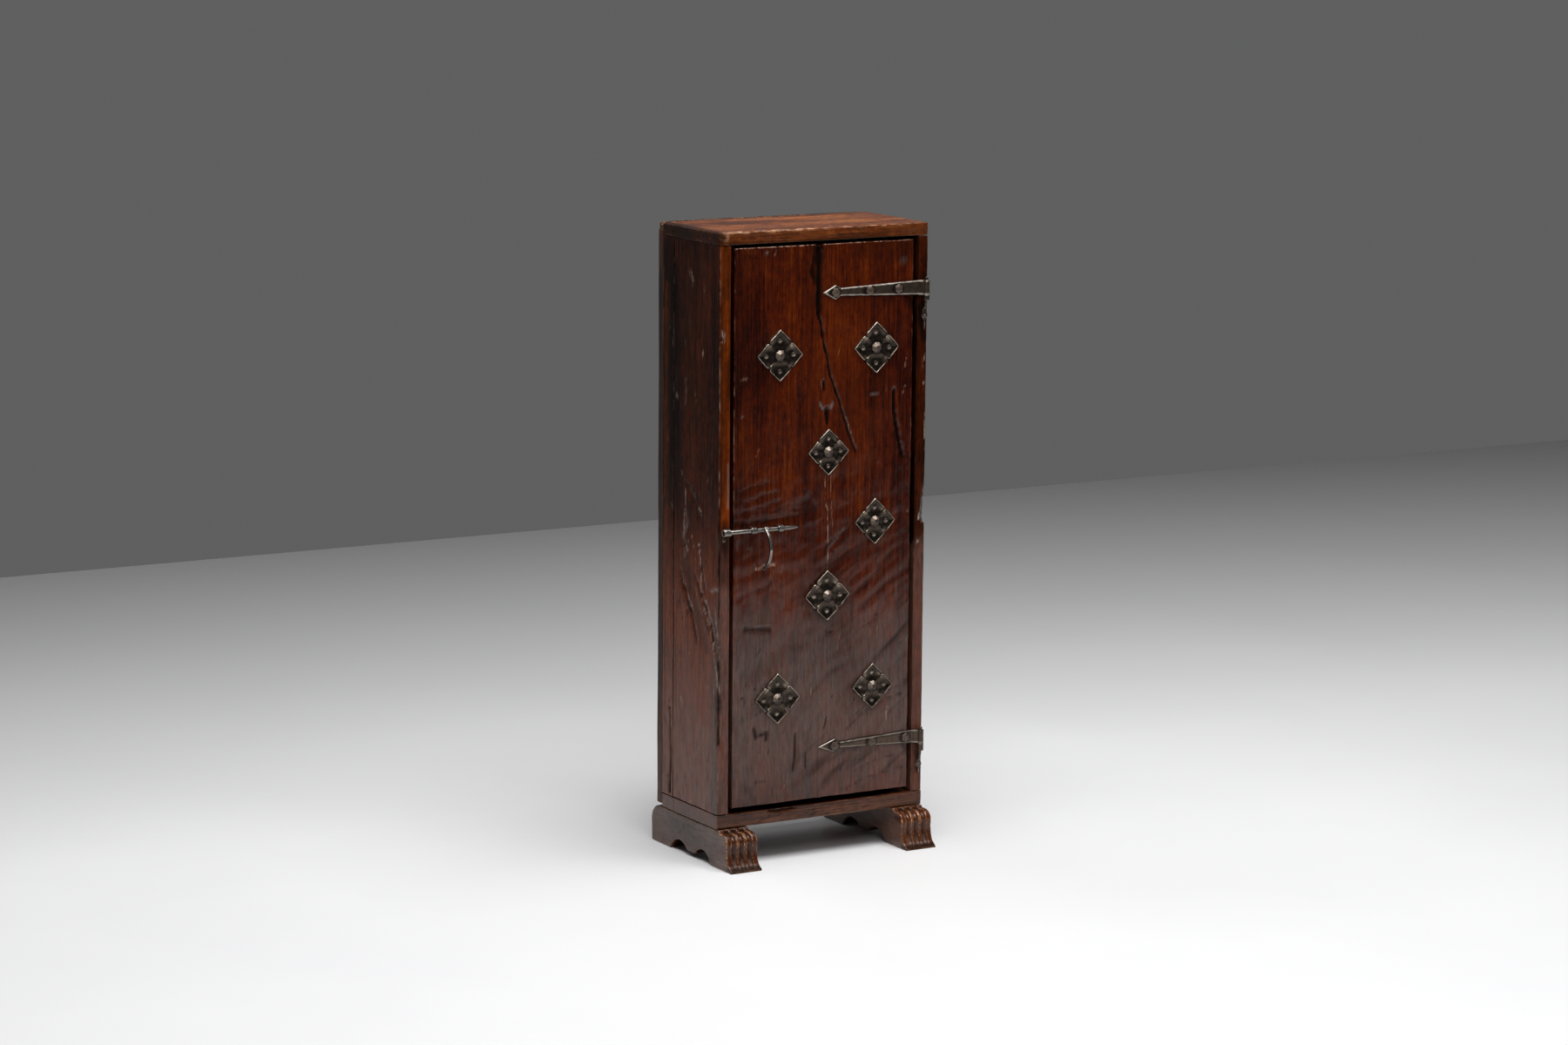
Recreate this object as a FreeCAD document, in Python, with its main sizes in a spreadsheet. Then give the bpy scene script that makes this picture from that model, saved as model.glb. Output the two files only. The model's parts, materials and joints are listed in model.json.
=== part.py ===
"""A small standing cabinet of thick old boards: one plank door on forged strap hinges,
seven nailed iron rosettes, a sliding bolt with a drop handle, and two carved sled feet.

Millimetres. X runs to the right, Y to the back and Z up. The origin is on the floor,
in the middle of the feet's footprint.
"""

import FreeCAD, Part
import Sketcher
import math
import os

from FreeCAD import Placement, Rotation, Vector

SIZES = {
    # boards of the carcass
    "total_height": 1000.0,
    "carcass_width": 376.0,
    "carcass_depth": 200.0,
    "side_thick": 21.0,
    "top_thick": 21.0,
    "base_thick": 23.0,
    "back_thick": 18.0,
    "back_lift": 4.0,
    "back_foot_round": 12.0,
    "back_edge_ease": 1.2,
    "side_strip_width": 35.0,
    "base_strip_width": 40.0,
    "top_strip_width": 33.0,
    "board_ease": 3.0,
    "top_ease": 6.0,
    "strip_ease": 1.5,
    # feet
    "foot_height": 61.0,
    "foot_width": 56.0,
    "toe_reach": 47.0,
    "heel_reach": 17.0,
    "heel_round": 26.0,
    "heel_rake": 1.4,
    "lip_reach": 2.5,
    "lip_drop": 3.5,
    "knuckle_reach": 31.5,
    "knuckle_radius": 16.0,
    "toe_band_reach": 36.5,
    "toe_band_height": 9.5,
    "toe_edge_height": 2.5,
    "front_pad_length": 69.0,
    "rear_pad_length": 64.5,
    "arch_height": 18.5,
    "middle_drop_height": 7.0,
    "flute_radius": 4.0,
    # pegs that hold the boards and feet together
    "peg_width": 10.0,
    "peg_length": 28.0,
    # shelves
    "shelf_thick": 18.0,
    "shelf_ease": 1.5,
    "cleat_section": 16.0,
    "cleat_setback": 14.0,
    # door
    "door_thick": 22.0,
    "door_ease": 2.5,
    "door_gap_left": 5.0,
    "door_gap_right": 6.0,
    "door_gap_top": 4.5,
    "door_gap_bottom": 8.0,
    "door_rest_gap": 0.3,
    # strap hinges on their pintles
    "axis_inset": 7.5,
    "axis_proud": 6.5,
    "pin_radius": 2.6,
    "pin_running_gap": 0.05,
    "pin_standing": 4.5,
    "eye_radius": 5.0,
    "bearing_gap": 0.2,
    "stile_gap": 0.3,
    "strap_thick": 3.0,
    "strap_bevel": 1.3,
    "strap_web_length": 11.0,
    "upper_strap_drop": 77.0,
    "upper_strap_length": 186.5,
    "upper_leaf_length": 23.6,
    "upper_neck_length": 33.0,
    "upper_leaf_width": 24.0,
    "upper_neck_width": 13.6,
    "upper_end_width": 24.0,
    "upper_bush_height": 8.0,
    "upper_shank_length": 13.0,
    "upper_plate_length": 35.0,
    "lower_strap_rise": 83.0,
    "lower_strap_length": 188.9,
    "lower_leaf_length": 32.0,
    "lower_neck_length": 41.5,
    "lower_leaf_width": 23.5,
    "lower_neck_width": 10.5,
    "lower_end_width": 22.0,
    "lower_bush_height": 12.0,
    "lower_shank_length": 16.0,
    "lower_plate_length": 23.0,
    "shank_radius": 2.3,
    "plate_thick": 2.4,
    "plate_width": 11.0,
    # nails
    "shank_side": 3.4,
    "rosette_nail_head": 17.0,
    "rosette_nail_rise": 6.5,
    "strap_nail_head": 9.5,
    "strap_nail_rise": 2.6,
    "small_nail_head": 6.5,
    "small_nail_rise": 2.2,
    "nail_bite": 12.0,
    # rosettes
    "rosette_large": 81.0,
    "rosette_small": 73.5,
    "rosette_rim_height": 3.4,
    "rosette_field_height": 1.5,
    "rosette_rim_width": 2.3,
    "boss_width": 7.8,
    "boss_top_width": 3.4,
    "boss_rise": 2.2,
    # bolt
    "bolt_rise": 441.6,
    "bolt_proud": 8.0,
    "rod_radius": 3.75,
    "rod_length": 121.1,
    "rod_nose_length": 16.0,
    "rod_nose_radius": 0.9,
    "rod_end_ease": 0.8,
    "rod_neck_radius": 3.0,
    "rod_keeper_gap": 0.5,
    "keeper_inset": 4.0,
    "keeper_length": 12.0,
    "keeper_radius": 6.0,
    "keeper_bore_radius": 4.3,
    "keeper_stem_width": 5.0,
    "keeper_stem_bite": 13.0,
    "staple_width": 9.0,
    "staple_thick": 1.4,
    "staple_play": 0.25,
    "staple_bite": 14.0,
    "left_staple_place": 41.3,
    "right_staple_place": 89.1,
    "handle_place": 62.3,
    "handle_eye_width": 5.0,
    "handle_eye_radius": 5.3,
    "handle_eye_gap": 0.06,
    "handle_side_gap": 0.2,
    "handle_bow": 18.0,
    "handle_drop": 62.0,
    "handle_return": 3.2,
    "handle_width": 4.4,
    "handle_thick": 3.6,
    "handle_tip_radius": 2.4,
    # one overrun for every cutting tool
    "overrun": 2.0,
}

# Shares of the gap between a foot's two pads, from the rear pad: the two arches and the drop
ARCH_PEAK_SHARES = (0.21, 0.80)
DROP_EDGE_SHARES = (0.41, 0.61)
# Shares of the clear height inside at which the tops of the shelves lie
SHELF_PLACE_SHARES = {"shelf_lower": 0.34, "shelf_upper": 0.67}
# Share of a back plank's width at which the nails into the top and the base lie, from the middle
BACK_ROW_SHARE = 0.25
# Shares of the door's width and height at which the rosettes' middles lie, and each one's size
ROSETTE_PLACE_SHARES = {
    "rosette_upper_left": (0.250, 0.807, "rosette_large"),
    "rosette_upper_right": (0.790, 0.810, "rosette_large"),
    "rosette_centre_high": (0.525, 0.629, "rosette_small"),
    "rosette_middle_right": (0.791, 0.497, "rosette_small"),
    "rosette_centre_low": (0.525, 0.370, "rosette_large"),
    "rosette_lower_left": (0.250, 0.192, "rosette_large"),
    "rosette_lower_right": (0.786, 0.1965, "rosette_small"),
}
# Turn of each rosette's nail head, and the turn from one small nail to the next, degrees
NAIL_TURNS = (12, 24, 0, 40, 6, 20, 33)
SMALL_NAIL_TURN = 15.0
# Shares of a strap's length from its tip at which its nails lie
STRAP_NAIL_SHARES = {"upper": (0.125, 0.458, 0.740), "lower": (0.168, 0.534, 0.866)}
# Shares of half a rosette: a lobe's point, the end of its side, its shoulder, and the notch
HALF_LOBE_SHARES = ((1.0, 0.0), (0.62, 0.41), (0.58, 0.455), (0.51, 0.465), (0.42, 0.42))
BOSS_PLACE_SHARE = 0.60
# Shares of a plank's length and of the back's width at which the back's nails lie
BACK_NAIL_SHARES = (0.012, 0.5, 0.988)
# Shares of a board's depth at which its pegs lie
PEG_PLACE_SHARES = (0.2, 0.62)
CLEAT_NAIL_SHARES = (0.12, 0.88)
# Shares of a nail head: its flat top's width, and the height of its upright sides
HEAD_TOP_SHARE = 0.45
HEAD_SIDE_SHARE = 0.30
# Share of the bolt's nose, in length and in width, at which it turns to the point
NOSE_WAIST_SHARE = 0.62
# Shares of a pintle plate's length and width: the nail's place and the tail's width
PLATE_NAIL_SHARE = 0.36
PLATE_SHOULDER_SHARE = 0.55
PLATE_TAIL_SHARE = 0.22
# Number of parallel reeds carved on the front of a foot, and how far past upright, in degrees,
# the round of its knuckle turns before the waist
REED_COUNT = 4
KNUCKLE_TURN = 10.0
# Facets of carved hollows, nail heads and hammered iron
GOUGE_SIDES = 8
NAIL_SIDES = 8
SMALL_NAIL_SIDES = 6
FORGED_SIDES = 12

doc = FreeCAD.newDocument("cabinet")
sheet = doc.addObject("Spreadsheet::Sheet", "Sizes")
for row, (alias, value) in enumerate(SIZES.items(), 1):
    sheet.set(f"A{row}", alias)
    sheet.set(f"B{row}", str(value))
    sheet.setAlias(f"B{row}", alias)
doc.recompute()

# Places in the frame, as expressions on the sheet
FOOT_LENGTH = "(Sizes.toe_reach + Sizes.carcass_depth + Sizes.heel_reach)"
FRONT = f"(Sizes.toe_reach - {FOOT_LENGTH} / 2)"
BACK = f"({FRONT} + Sizes.carcass_depth)"
BOARDS_BACK = f"({BACK} - Sizes.back_thick)"
RIGHT = "(Sizes.carcass_width / 2)"
LEFT = "(-Sizes.carcass_width / 2)"
INNER_RIGHT = f"({RIGHT} - Sizes.side_thick)"
INNER_LEFT = f"({LEFT} + Sizes.side_thick)"
BASE_LOW = "Sizes.foot_height"
BASE_HIGH = "(Sizes.foot_height + Sizes.base_thick)"
TOP_LOW = "(Sizes.total_height - Sizes.top_thick)"
TOP_HIGH = "Sizes.total_height"
SIDE_JOINT = f"({BOARDS_BACK} - Sizes.side_strip_width)"
BASE_JOINT = f"({BOARDS_BACK} - Sizes.base_strip_width)"
TOP_JOINT = f"({BOARDS_BACK} - Sizes.top_strip_width)"
DOOR_LEFT = f"({INNER_LEFT} + Sizes.door_gap_left)"
DOOR_RIGHT = f"({INNER_RIGHT} - Sizes.door_gap_right)"
DOOR_LOW = f"({BASE_HIGH} + Sizes.door_gap_bottom)"
DOOR_HIGH = f"({TOP_LOW} - Sizes.door_gap_top)"
DOOR_BACK = f"({FRONT} + Sizes.door_thick)"
SHELF_FRONT = f"({DOOR_BACK} + Sizes.door_rest_gap)"
AXIS_X = f"({RIGHT} - Sizes.axis_inset)"
AXIS_Y = f"({FRONT} - Sizes.axis_proud)"
UPPER_STRAP_Z = f"({DOOR_HIGH} - Sizes.upper_strap_drop)"
LOWER_STRAP_Z = f"({DOOR_LOW} + Sizes.lower_strap_rise)"
BOLT_Y = f"({FRONT} - Sizes.bolt_proud)"
BOLT_Z = f"({DOOR_LOW} + Sizes.bolt_rise)"
KEEPER_LEFT = f"({LEFT} + Sizes.keeper_inset)"
ROD_LEFT = f"({KEEPER_LEFT} + Sizes.keeper_length + Sizes.rod_keeper_gap)"

OUT_FRONT = Vector(0, -1, 0)
OUT_BACK = Vector(0, 1, 0)
UP = Vector(0, 0, 1)
# Share of a blank's diagonal within which a place counts as on one of its sides
NEAR_SHARE = 1e-5
nodes = {}


def mm(expression):
    """The value of a size or of a place in the frame."""
    return float(sheet.evalExpression(expression))


def size(alias):
    """The value of one named size."""
    return mm(f"Sizes.{alias}")


def plane(body, role):
    """One of the body's own origin planes."""
    return next(f for f in body.Origin.OriginFeatures if f.Role == role)


def keep(name, shape_object):
    """Enter a finished sub-part under the name that its file gets."""
    shape_object.Label = name
    nodes[name] = shape_object
    return shape_object


def feature(name, shape):
    """A document object that holds a shape worked out from the sheet's values."""
    made = doc.addObject("Part::Feature", name + "_form")
    made.Shape = shape
    return made


def edges_at(shape, corners):
    """Names of a box's edges that lie at two of its sides at once, such as ("y-", "z+")."""
    bounds = shape.BoundBox
    limits = {
        "x-": ("x", bounds.XMin), "x+": ("x", bounds.XMax),
        "y-": ("y", bounds.YMin), "y+": ("y", bounds.YMax),
        "z-": ("z", bounds.ZMin), "z+": ("z", bounds.ZMax),
    }
    near = bounds.DiagonalLength * NEAR_SHARE
    names = []
    for number, edge in enumerate(shape.Edges, 1):
        middle = edge.CenterOfMass
        for corner in corners:
            sides = [limits[side] for side in corner]
            if all(abs(getattr(middle, axis) - value) < near for axis, value in sides):
                names.append(f"Edge{number}")
    return names


def board(name, x, y, z, eased=(), ease="board_ease", rounded=False):
    """A planed board between three pairs of places, with some edges bevelled or rounded over."""
    body = doc.addObject("PartDesign::Body", name + "_blank")
    outline = body.newObject("Sketcher::SketchObject", name + "_outline")
    outline.AttachmentSupport = [(plane(body, "XY_Plane"), "")]
    outline.MapMode = "FlatFace"
    width, depth = mm(f"{x[1]} - {x[0]}"), mm(f"{y[1]} - {y[0]}")
    corners = [Vector(0, 0, 0), Vector(width, 0, 0), Vector(width, depth, 0), Vector(0, depth, 0)]
    for start, end in zip(corners, corners[1:] + corners[:1]):
        outline.addGeometry(Part.LineSegment(start, end), False)
    for line in range(4):
        outline.addConstraint(Sketcher.Constraint("Coincident", line, 2, (line + 1) % 4, 1))
    for line in (0, 2):
        outline.addConstraint(Sketcher.Constraint("Horizontal", line))
    for line in (1, 3):
        outline.addConstraint(Sketcher.Constraint("Vertical", line))
    outline.addConstraint(Sketcher.Constraint("Coincident", 0, 1, -1, 1))
    across = outline.addConstraint(Sketcher.Constraint("DistanceX", 0, 1, 0, 2, width))
    along = outline.addConstraint(Sketcher.Constraint("DistanceY", 1, 1, 1, 2, depth))
    outline.setExpression(f"Constraints[{across}]", f"{x[1]} - {x[0]}")
    outline.setExpression(f"Constraints[{along}]", f"{y[1]} - {y[0]}")
    pad = body.newObject("PartDesign::Pad", name + "_pad")
    pad.Profile = outline
    pad.setExpression("Length", f"{z[1]} - {z[0]}")
    body.setExpression("Placement.Base.x", x[0])
    body.setExpression("Placement.Base.y", y[0])
    body.setExpression("Placement.Base.z", z[0])
    doc.recompute()
    if eased:
        kind, measure = ("Fillet", "Radius") if rounded else ("Chamfer", "Size")
        easing = body.newObject(f"PartDesign::{kind}", name + "_ease")
        easing.Base = (pad, edges_at(pad.Shape, eased))
        easing.setExpression(measure, f"Sizes.{ease}")
        body.Tip = easing
    return body


def cut(name, blank, tools):
    """The blank with its mortises and nail holes taken out."""
    if not tools:
        return blank
    taken = doc.addObject("Part::Cut", name + "_cut")
    taken.Base = blank
    taken.Tool = feature(name + "_holes", Part.makeCompound(tools))
    return taken


def prism(sides, width, length, start, direction, turn=0.0):
    """A bar of regular section, measured across its flats, from a point along a direction."""
    radius = width / 2 / math.cos(math.pi / sides)
    step = 2 * math.pi / sides
    corners = [
        Vector(radius * math.cos(step * (i + 0.5)), radius * math.sin(step * (i + 0.5)), 0)
        for i in range(sides + 1)
    ]
    bar = Part.Face(Part.makePolygon(corners)).extrude(Vector(0, 0, length))
    bar.rotate(Vector(), UP, turn)
    bar.Placement = Placement(start, Rotation(UP, direction)).multiply(bar.Placement)
    return bar


def flat_ring(sides, width, height):
    """Corners of a regular ring at a height, measured across its flats."""
    radius = width / 2 / math.cos(math.pi / sides)
    step = 2 * math.pi / sides
    return [
        Vector(radius * math.cos(step * i), radius * math.sin(step * i), height) for i in range(sides)
    ]


def faceted(rings):
    """A solid with flat facets between rings of corners, closed at both ends."""
    faces = [face_through(list(reversed(rings[0]))), face_through(rings[-1])]
    for low, high in zip(rings, rings[1:]):
        for i in range(len(low)):
            j = (i + 1) % len(low)
            faces.append(face_through([low[i], low[j], high[j], high[i]]))
    return Part.Solid(Part.Shell(faces))


def forged_nail(head, rise, bite, turn, point, outward, sides=SMALL_NAIL_SIDES):
    """A nail with a hammered, faceted head, its underside on a point, and a square shank."""
    made = faceted([
        flat_ring(sides, head, 0),
        flat_ring(sides, head, rise * HEAD_SIDE_SHARE),
        flat_ring(sides, head * HEAD_TOP_SHARE, rise),
    ])
    made.rotate(Vector(), UP, turn)
    made = made.fuse(prism(4, size("shank_side"), bite, Vector(), -UP)).removeSplitter()
    made.Placement = Placement(point, Rotation(UP, outward))
    return made


def small_nail(bite, number, point, outward):
    """One of the small nails, each turned a little from the one before."""
    return forged_nail(
        size("small_nail_head"), size("small_nail_rise"), bite, number * SMALL_NAIL_TURN, point, outward)


def nail_hole(bite, point, outward):
    """The square hole of a nail, from just outside the surface to the end of its shank."""
    over = size("overrun")
    return prism(4, size("shank_side"), bite + over, point + outward * over, -outward)


def face_through(points):
    return Part.Face(Part.makePolygon(points + points[:1]))


def peg_places(board_front, board_back):
    """Depths of a board's two pegs."""
    depth = mm(f"{board_back} - {board_front}")
    return [mm(board_front) + depth * share for share in PEG_PLACE_SHARES]


def carcass_pegs():
    """Eight-sided pegs that hold the top and the base to the two sides."""
    half_bite = size("peg_length") / 2
    walls = ((LEFT, INNER_LEFT), (RIGHT, INNER_RIGHT))
    middles = [mm(f"({outer} + {inner}) / 2") for outer, inner in walls]
    ends = [mm(TOP_LOW), mm(BASE_HIGH)]
    return [
        prism(NAIL_SIDES, size("peg_width"), size("peg_length"), Vector(x, y, z - half_bite), UP)
        for x in middles for y in peg_places(FRONT, SIDE_JOINT) for z in ends
    ]


def foot_pegs():
    """Pegs that hold the feet up against the base."""
    low = mm(BASE_LOW) - size("peg_length") / 2
    inset = size("foot_width") / 2
    return [
        prism(NAIL_SIDES, size("peg_width"), size("peg_length"), Vector(x, y, low), UP)
        for x in (mm(LEFT) + inset, mm(RIGHT) - inset) for y in peg_places(FRONT, BASE_JOINT)
    ]


def make_carcass():
    pegs = carcass_pegs()
    under = foot_pegs()
    eased_front = (("y-", "z+"), ("x-", "z+"), ("x+", "z+"), ("x-", "y-"), ("x+", "y-"))
    top = board("top_board_front", (LEFT, RIGHT), (FRONT, TOP_JOINT), (TOP_LOW, TOP_HIGH),
                eased_front, "top_ease", rounded=True)
    keep("top_board_front", cut("top_board_front", top, pegs))
    rear = (("x-", "z+"), ("x+", "z+"))
    keep("top_board_rear", board(
        "top_board_rear", (LEFT, RIGHT), (TOP_JOINT, BOARDS_BACK), (TOP_LOW, TOP_HIGH),
        rear, "top_ease", rounded=True))
    base = board("base_board_front", (LEFT, RIGHT), (FRONT, BASE_JOINT), (BASE_LOW, BASE_HIGH),
                 (("x-", "y-"), ("x+", "y-"), ("y-", "z-")))
    keep("base_board_front", cut("base_board_front", base, pegs + under))
    keep("base_board_rear", board(
        "base_board_rear", (LEFT, RIGHT), (BASE_JOINT, BOARDS_BACK), (BASE_LOW, BASE_HIGH)))
    sides = {"left": (LEFT, INNER_LEFT, "x-"), "right": (INNER_RIGHT, RIGHT, "x+")}
    holes = cleat_nail_holes()
    for side, (low, high, outer) in sides.items():
        name = f"{side}_side_board"
        blank = board(name, (low, high), (FRONT, SIDE_JOINT), (BASE_HIGH, TOP_LOW), ((outer, "y-"),))
        taken = pegs + holes + stile_holes(side)
        keep(name, cut(name, blank, taken))
        name = f"{side}_side_rear_strip"
        keep(name, board(name, (low, high), (SIDE_JOINT, BOARDS_BACK), (BASE_HIGH, TOP_LOW),
                         ((outer, "y-"),), "strip_ease"))
    keep("carcass_pegs", feature("carcass_pegs", Part.makeCompound(pegs)))
    keep("foot_pegs", feature("foot_pegs", Part.makeCompound(under)))


def back_nail_points():
    """Rows of nails near the top, in the middle and near the foot of each outer plank's edge."""
    low, high = mm(f"{BASE_LOW} + Sizes.back_lift"), mm(TOP_HIGH)
    inset = size("side_thick") / 2
    columns = (mm(LEFT) + inset, mm(RIGHT) - inset)
    points = [
        Vector(x, mm(BACK), low + (high - low) * share) for x in columns for share in BACK_NAIL_SHARES
    ]
    rows = (mm(f"({TOP_LOW} + {TOP_HIGH}) / 2"), mm(f"({BASE_LOW} + {BASE_HIGH}) / 2"))
    offset = size("carcass_width") / 3 * BACK_ROW_SHARE
    return points + [Vector(x, mm(BACK), z) for x in (-offset, offset) for z in rows]


def make_back():
    """Three upright planks over the whole back, nailed to the boards' rear edges."""
    low = f"({BASE_LOW} + Sizes.back_lift)"
    third = "Sizes.carcass_width / 3"
    spans = {
        "back_plank_left": (LEFT, f"({LEFT} + {third})"),
        "back_plank_middle": (f"({LEFT} + {third})", f"({RIGHT} - {third})"),
        "back_plank_right": (f"({RIGHT} - {third})", RIGHT),
    }
    bite = size("back_thick")
    points = back_nail_points()
    for name, (start, end) in spans.items():
        blank = board(name, (start, end), (BOARDS_BACK, BACK), (low, TOP_HIGH),
                      (("x-", "y+"), ("x+", "y+")), "back_edge_ease")
        doc.recompute()
        previous = blank.Tip
        foot = blank.newObject("PartDesign::Fillet", name + "_foot_round")
        foot.Base = (previous, edges_at(previous.Shape, (("y+", "z-"),)))
        foot.setExpression("Radius", "Sizes.back_foot_round")
        blank.Tip = foot
        within = [p for p in points if mm(start) < p.x < mm(end)]
        keep(name, cut(name, blank, [nail_hole(bite, p, OUT_BACK) for p in within]))
    heads = [
        forged_nail(size("strap_nail_head"), size("strap_nail_rise"), bite, i * SMALL_NAIL_TURN, p, OUT_BACK)
        for i, p in enumerate(points)
    ]
    keep("back_nails", feature("back_nails", Part.makeCompound(heads)))


def shelf_top(name):
    clear = f"({TOP_LOW} - {BASE_HIGH})"
    return f"({BASE_HIGH} + {clear} * {SHELF_PLACE_SHARES[name]})"


def cleat_spans():
    """Front and back ends of the cleats."""
    return f"({SHELF_FRONT} + Sizes.cleat_setback)", f"({SIDE_JOINT} - Sizes.cleat_setback)"


def cleat_nail_points():
    """Nail places on the cleats, each with the way the head looks."""
    start, end = (mm(place) for place in cleat_spans())
    inner = ((mm(INNER_LEFT) + size("cleat_section"), Vector(1, 0, 0)),
             (mm(INNER_RIGHT) - size("cleat_section"), Vector(-1, 0, 0)))
    places = []
    for name in SHELF_PLACE_SHARES:
        z = mm(shelf_top(name)) - size("shelf_thick") - size("cleat_section") / 2
        for x, outward in inner:
            for share in CLEAT_NAIL_SHARES:
                places.append((Vector(x, start + (end - start) * share, z), outward))
    return places


def cleat_nail_bite():
    return size("cleat_section") + size("nail_bite")


def cleat_nail_holes():
    return [nail_hole(cleat_nail_bite(), point, outward) for point, outward in cleat_nail_points()]


def make_shelves():
    """Two loose shelves on nailed cleats. The door closes against their front edges."""
    start, end = (mm(place) for place in cleat_spans())
    section = size("cleat_section")
    cleats = []
    for name in SHELF_PLACE_SHARES:
        top = shelf_top(name)
        low = f"({top} - Sizes.shelf_thick)"
        keep(name, board(name, (INNER_LEFT, INNER_RIGHT), (SHELF_FRONT, BOARDS_BACK), (low, top),
                         (("y-", "z+"), ("y-", "z-")), "shelf_ease"))
        for x in (mm(INNER_LEFT), mm(INNER_RIGHT) - section):
            cleats.append(Part.makeBox(section, end - start, section, Vector(x, start, mm(low) - section)))
    group = feature("shelf_cleats_blank", Part.makeCompound(cleats))
    keep("shelf_cleats", cut("shelf_cleats", group, cleat_nail_holes()))
    heads = [small_nail(cleat_nail_bite(), i, *place) for i, place in enumerate(cleat_nail_points())]
    keep("cleat_nails", feature("cleat_nails", Part.makeCompound(heads)))


def gouge(radius, point, tangent):
    """The faceted section of a carver's gouge, square to the way that it runs."""
    corners = flat_ring(GOUGE_SIDES, 2 * radius, 0)
    place = Placement(point, Rotation(Vector(1, 0, 0), UP, tangent, "XZY"))
    return face_through([place.multVec(corner) for corner in corners])


def foot_front_line():
    """The carved front of a foot from the side, as a list of stretches from the lip to the toe.

    Each is (start, end, middle of its round or None, point halfway). It runs level from the
    lip, over the round knuckle, in at the waist and out again to the toe band.
    """
    front = mm(FRONT)

    def at(reach, height):
        return Vector(0, front - reach, height)

    top = size("foot_height") - size("lip_drop")
    knuckle = size("knuckle_radius")
    hub_reach = size("knuckle_reach") - knuckle
    hub = at(hub_reach, top - knuckle)
    turn = math.radians(KNUCKLE_TURN)
    outward = at(hub_reach + math.cos(turn), top - knuckle - math.sin(turn)) - hub
    waist_start = hub + outward * knuckle
    toe = at(size("toe_band_reach"), size("toe_band_height"))
    across = toe - waist_start
    flare = across.dot(across) / (2 * across.dot(outward))
    flare_hub = waist_start + outward * flare
    half_turn = math.pi / 4 - turn / 2
    halfway = at(hub_reach + math.cos(half_turn), top - knuckle + math.sin(half_turn)) - hub
    crown = hub + halfway * knuckle
    inward = ((waist_start + toe) * 0.5 - flare_hub).normalize()
    return [
        (at(size("lip_reach"), top), at(hub_reach, top), None, None),
        (at(hub_reach, top), waist_start, hub, crown),
        (waist_start, toe, flare_hub, flare_hub + inward * flare),
    ]


def foot_core(line):
    """The sawn outline of a foot, seen from the side, as a solid across its width."""
    half = mm(FOOT_LENGTH) / 2
    front, height = mm(FRONT), size("foot_height")
    heel, rake = size("heel_round"), size("heel_rake")
    pads = (half - size("rear_pad_length"), size("front_pad_length") - half)
    gap = pads[0] - pads[1]
    arch, drop = size("arch_height"), size("middle_drop_height")
    peaks = [Vector(0, pads[0] - gap * share, arch) for share in ARCH_PEAK_SHARES]
    drops = [Vector(0, pads[0] - gap * share, drop) for share in DROP_EDGE_SHARES]
    rear_pad, front_pad = (Vector(0, y, 0) for y in pads)
    toe_foot, toe_top = Vector(0, -half, 0), Vector(0, -half, size("toe_edge_height"))
    slope = heel * (1 - math.sqrt(0.5))
    heel_top, heel_side = Vector(0, half - heel, height), Vector(0, half, height - heel)
    heel_middle, heel_foot = Vector(0, half - slope, height - slope), Vector(0, half - rake, 0)
    lip_top = Vector(0, front - size("lip_reach"), height)
    edges = [
        Part.Arc(heel_top, heel_middle, heel_side).toShape(),
        Part.makeLine(heel_side, heel_foot),
        Part.makeLine(heel_foot, rear_pad),
        Part.Arc(rear_pad, peaks[0], drops[0]).toShape(),
        Part.makeLine(drops[0], drops[1]),
        Part.Arc(drops[1], peaks[1], front_pad).toShape(),
        Part.makeLine(front_pad, toe_foot),
        Part.makeLine(toe_foot, toe_top),
        Part.makeLine(toe_top, line[-1][1]),
    ]
    for start, end, middle, halfway in reversed(line):
        edges.append(Part.Arc(end, halfway, start).toShape() if middle else Part.makeLine(end, start))
    edges += [Part.makeLine(line[0][0], lip_top), Part.makeLine(lip_top, heel_top)]
    return Part.Face(Part.Wire(edges)).extrude(Vector(size("foot_width"), 0, 0))


def flutes(line):
    """The hollows between the reeds: each follows the front line, then climbs out at the toe."""
    pitch = size("foot_width") / REED_COUNT
    radius = size("flute_radius")
    side = Vector(1, 0, 0)
    one = []
    for start, end, middle, halfway in line:
        if middle is None:
            one.append(gouge(radius, start, end - start).extrude(end - start))
            continue
        spoke = start - middle
        turned = math.degrees(spoke.getAngle(end - middle))
        sense = 1 if side.cross(spoke).dot(end - start) > 0 else -1
        one.append(gouge(radius, start, side.cross(spoke) * sense).revolve(middle, side * sense, turned))
    outward = (middle - end).normalize()
    toe_way = side.cross(end - middle).normalize() * sense
    one.append(gouge(radius, end, toe_way).extrude((toe_way + outward) * 2 * radius))
    tools = []
    for number in range(1, REED_COUNT):
        for tool in one:
            copied = tool.copy()
            copied.translate(side * pitch * number)
            tools.append(copied)
    return tools


def make_feet():
    """Two sled feet with fluted fronts and scalloped undersides, pegged under the base."""
    line = foot_front_line()
    carved = foot_core(line)
    for tool in flutes(line):
        carved = carved.cut(tool)
    pegs = foot_pegs()
    for side, left in (("left", mm(LEFT)), ("right", mm(RIGHT) - size("foot_width"))):
        name = f"{side}_foot"
        form = carved.copy()
        form.translate(Vector(left, 0, 0))
        blank = feature(name + "_blank", form)
        keep(name, cut(name, blank, pegs))


def strap_nail_points(which):
    """Nail places along a strap, on its front face."""
    z = mm(UPPER_STRAP_Z if which == "upper" else LOWER_STRAP_Z)
    length = size(f"{which}_strap_length")
    tip = mm(AXIS_X) - length
    y = mm(FRONT) - size("strap_thick")
    return [Vector(tip + length * share, y, z) for share in STRAP_NAIL_SHARES[which]]


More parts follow.
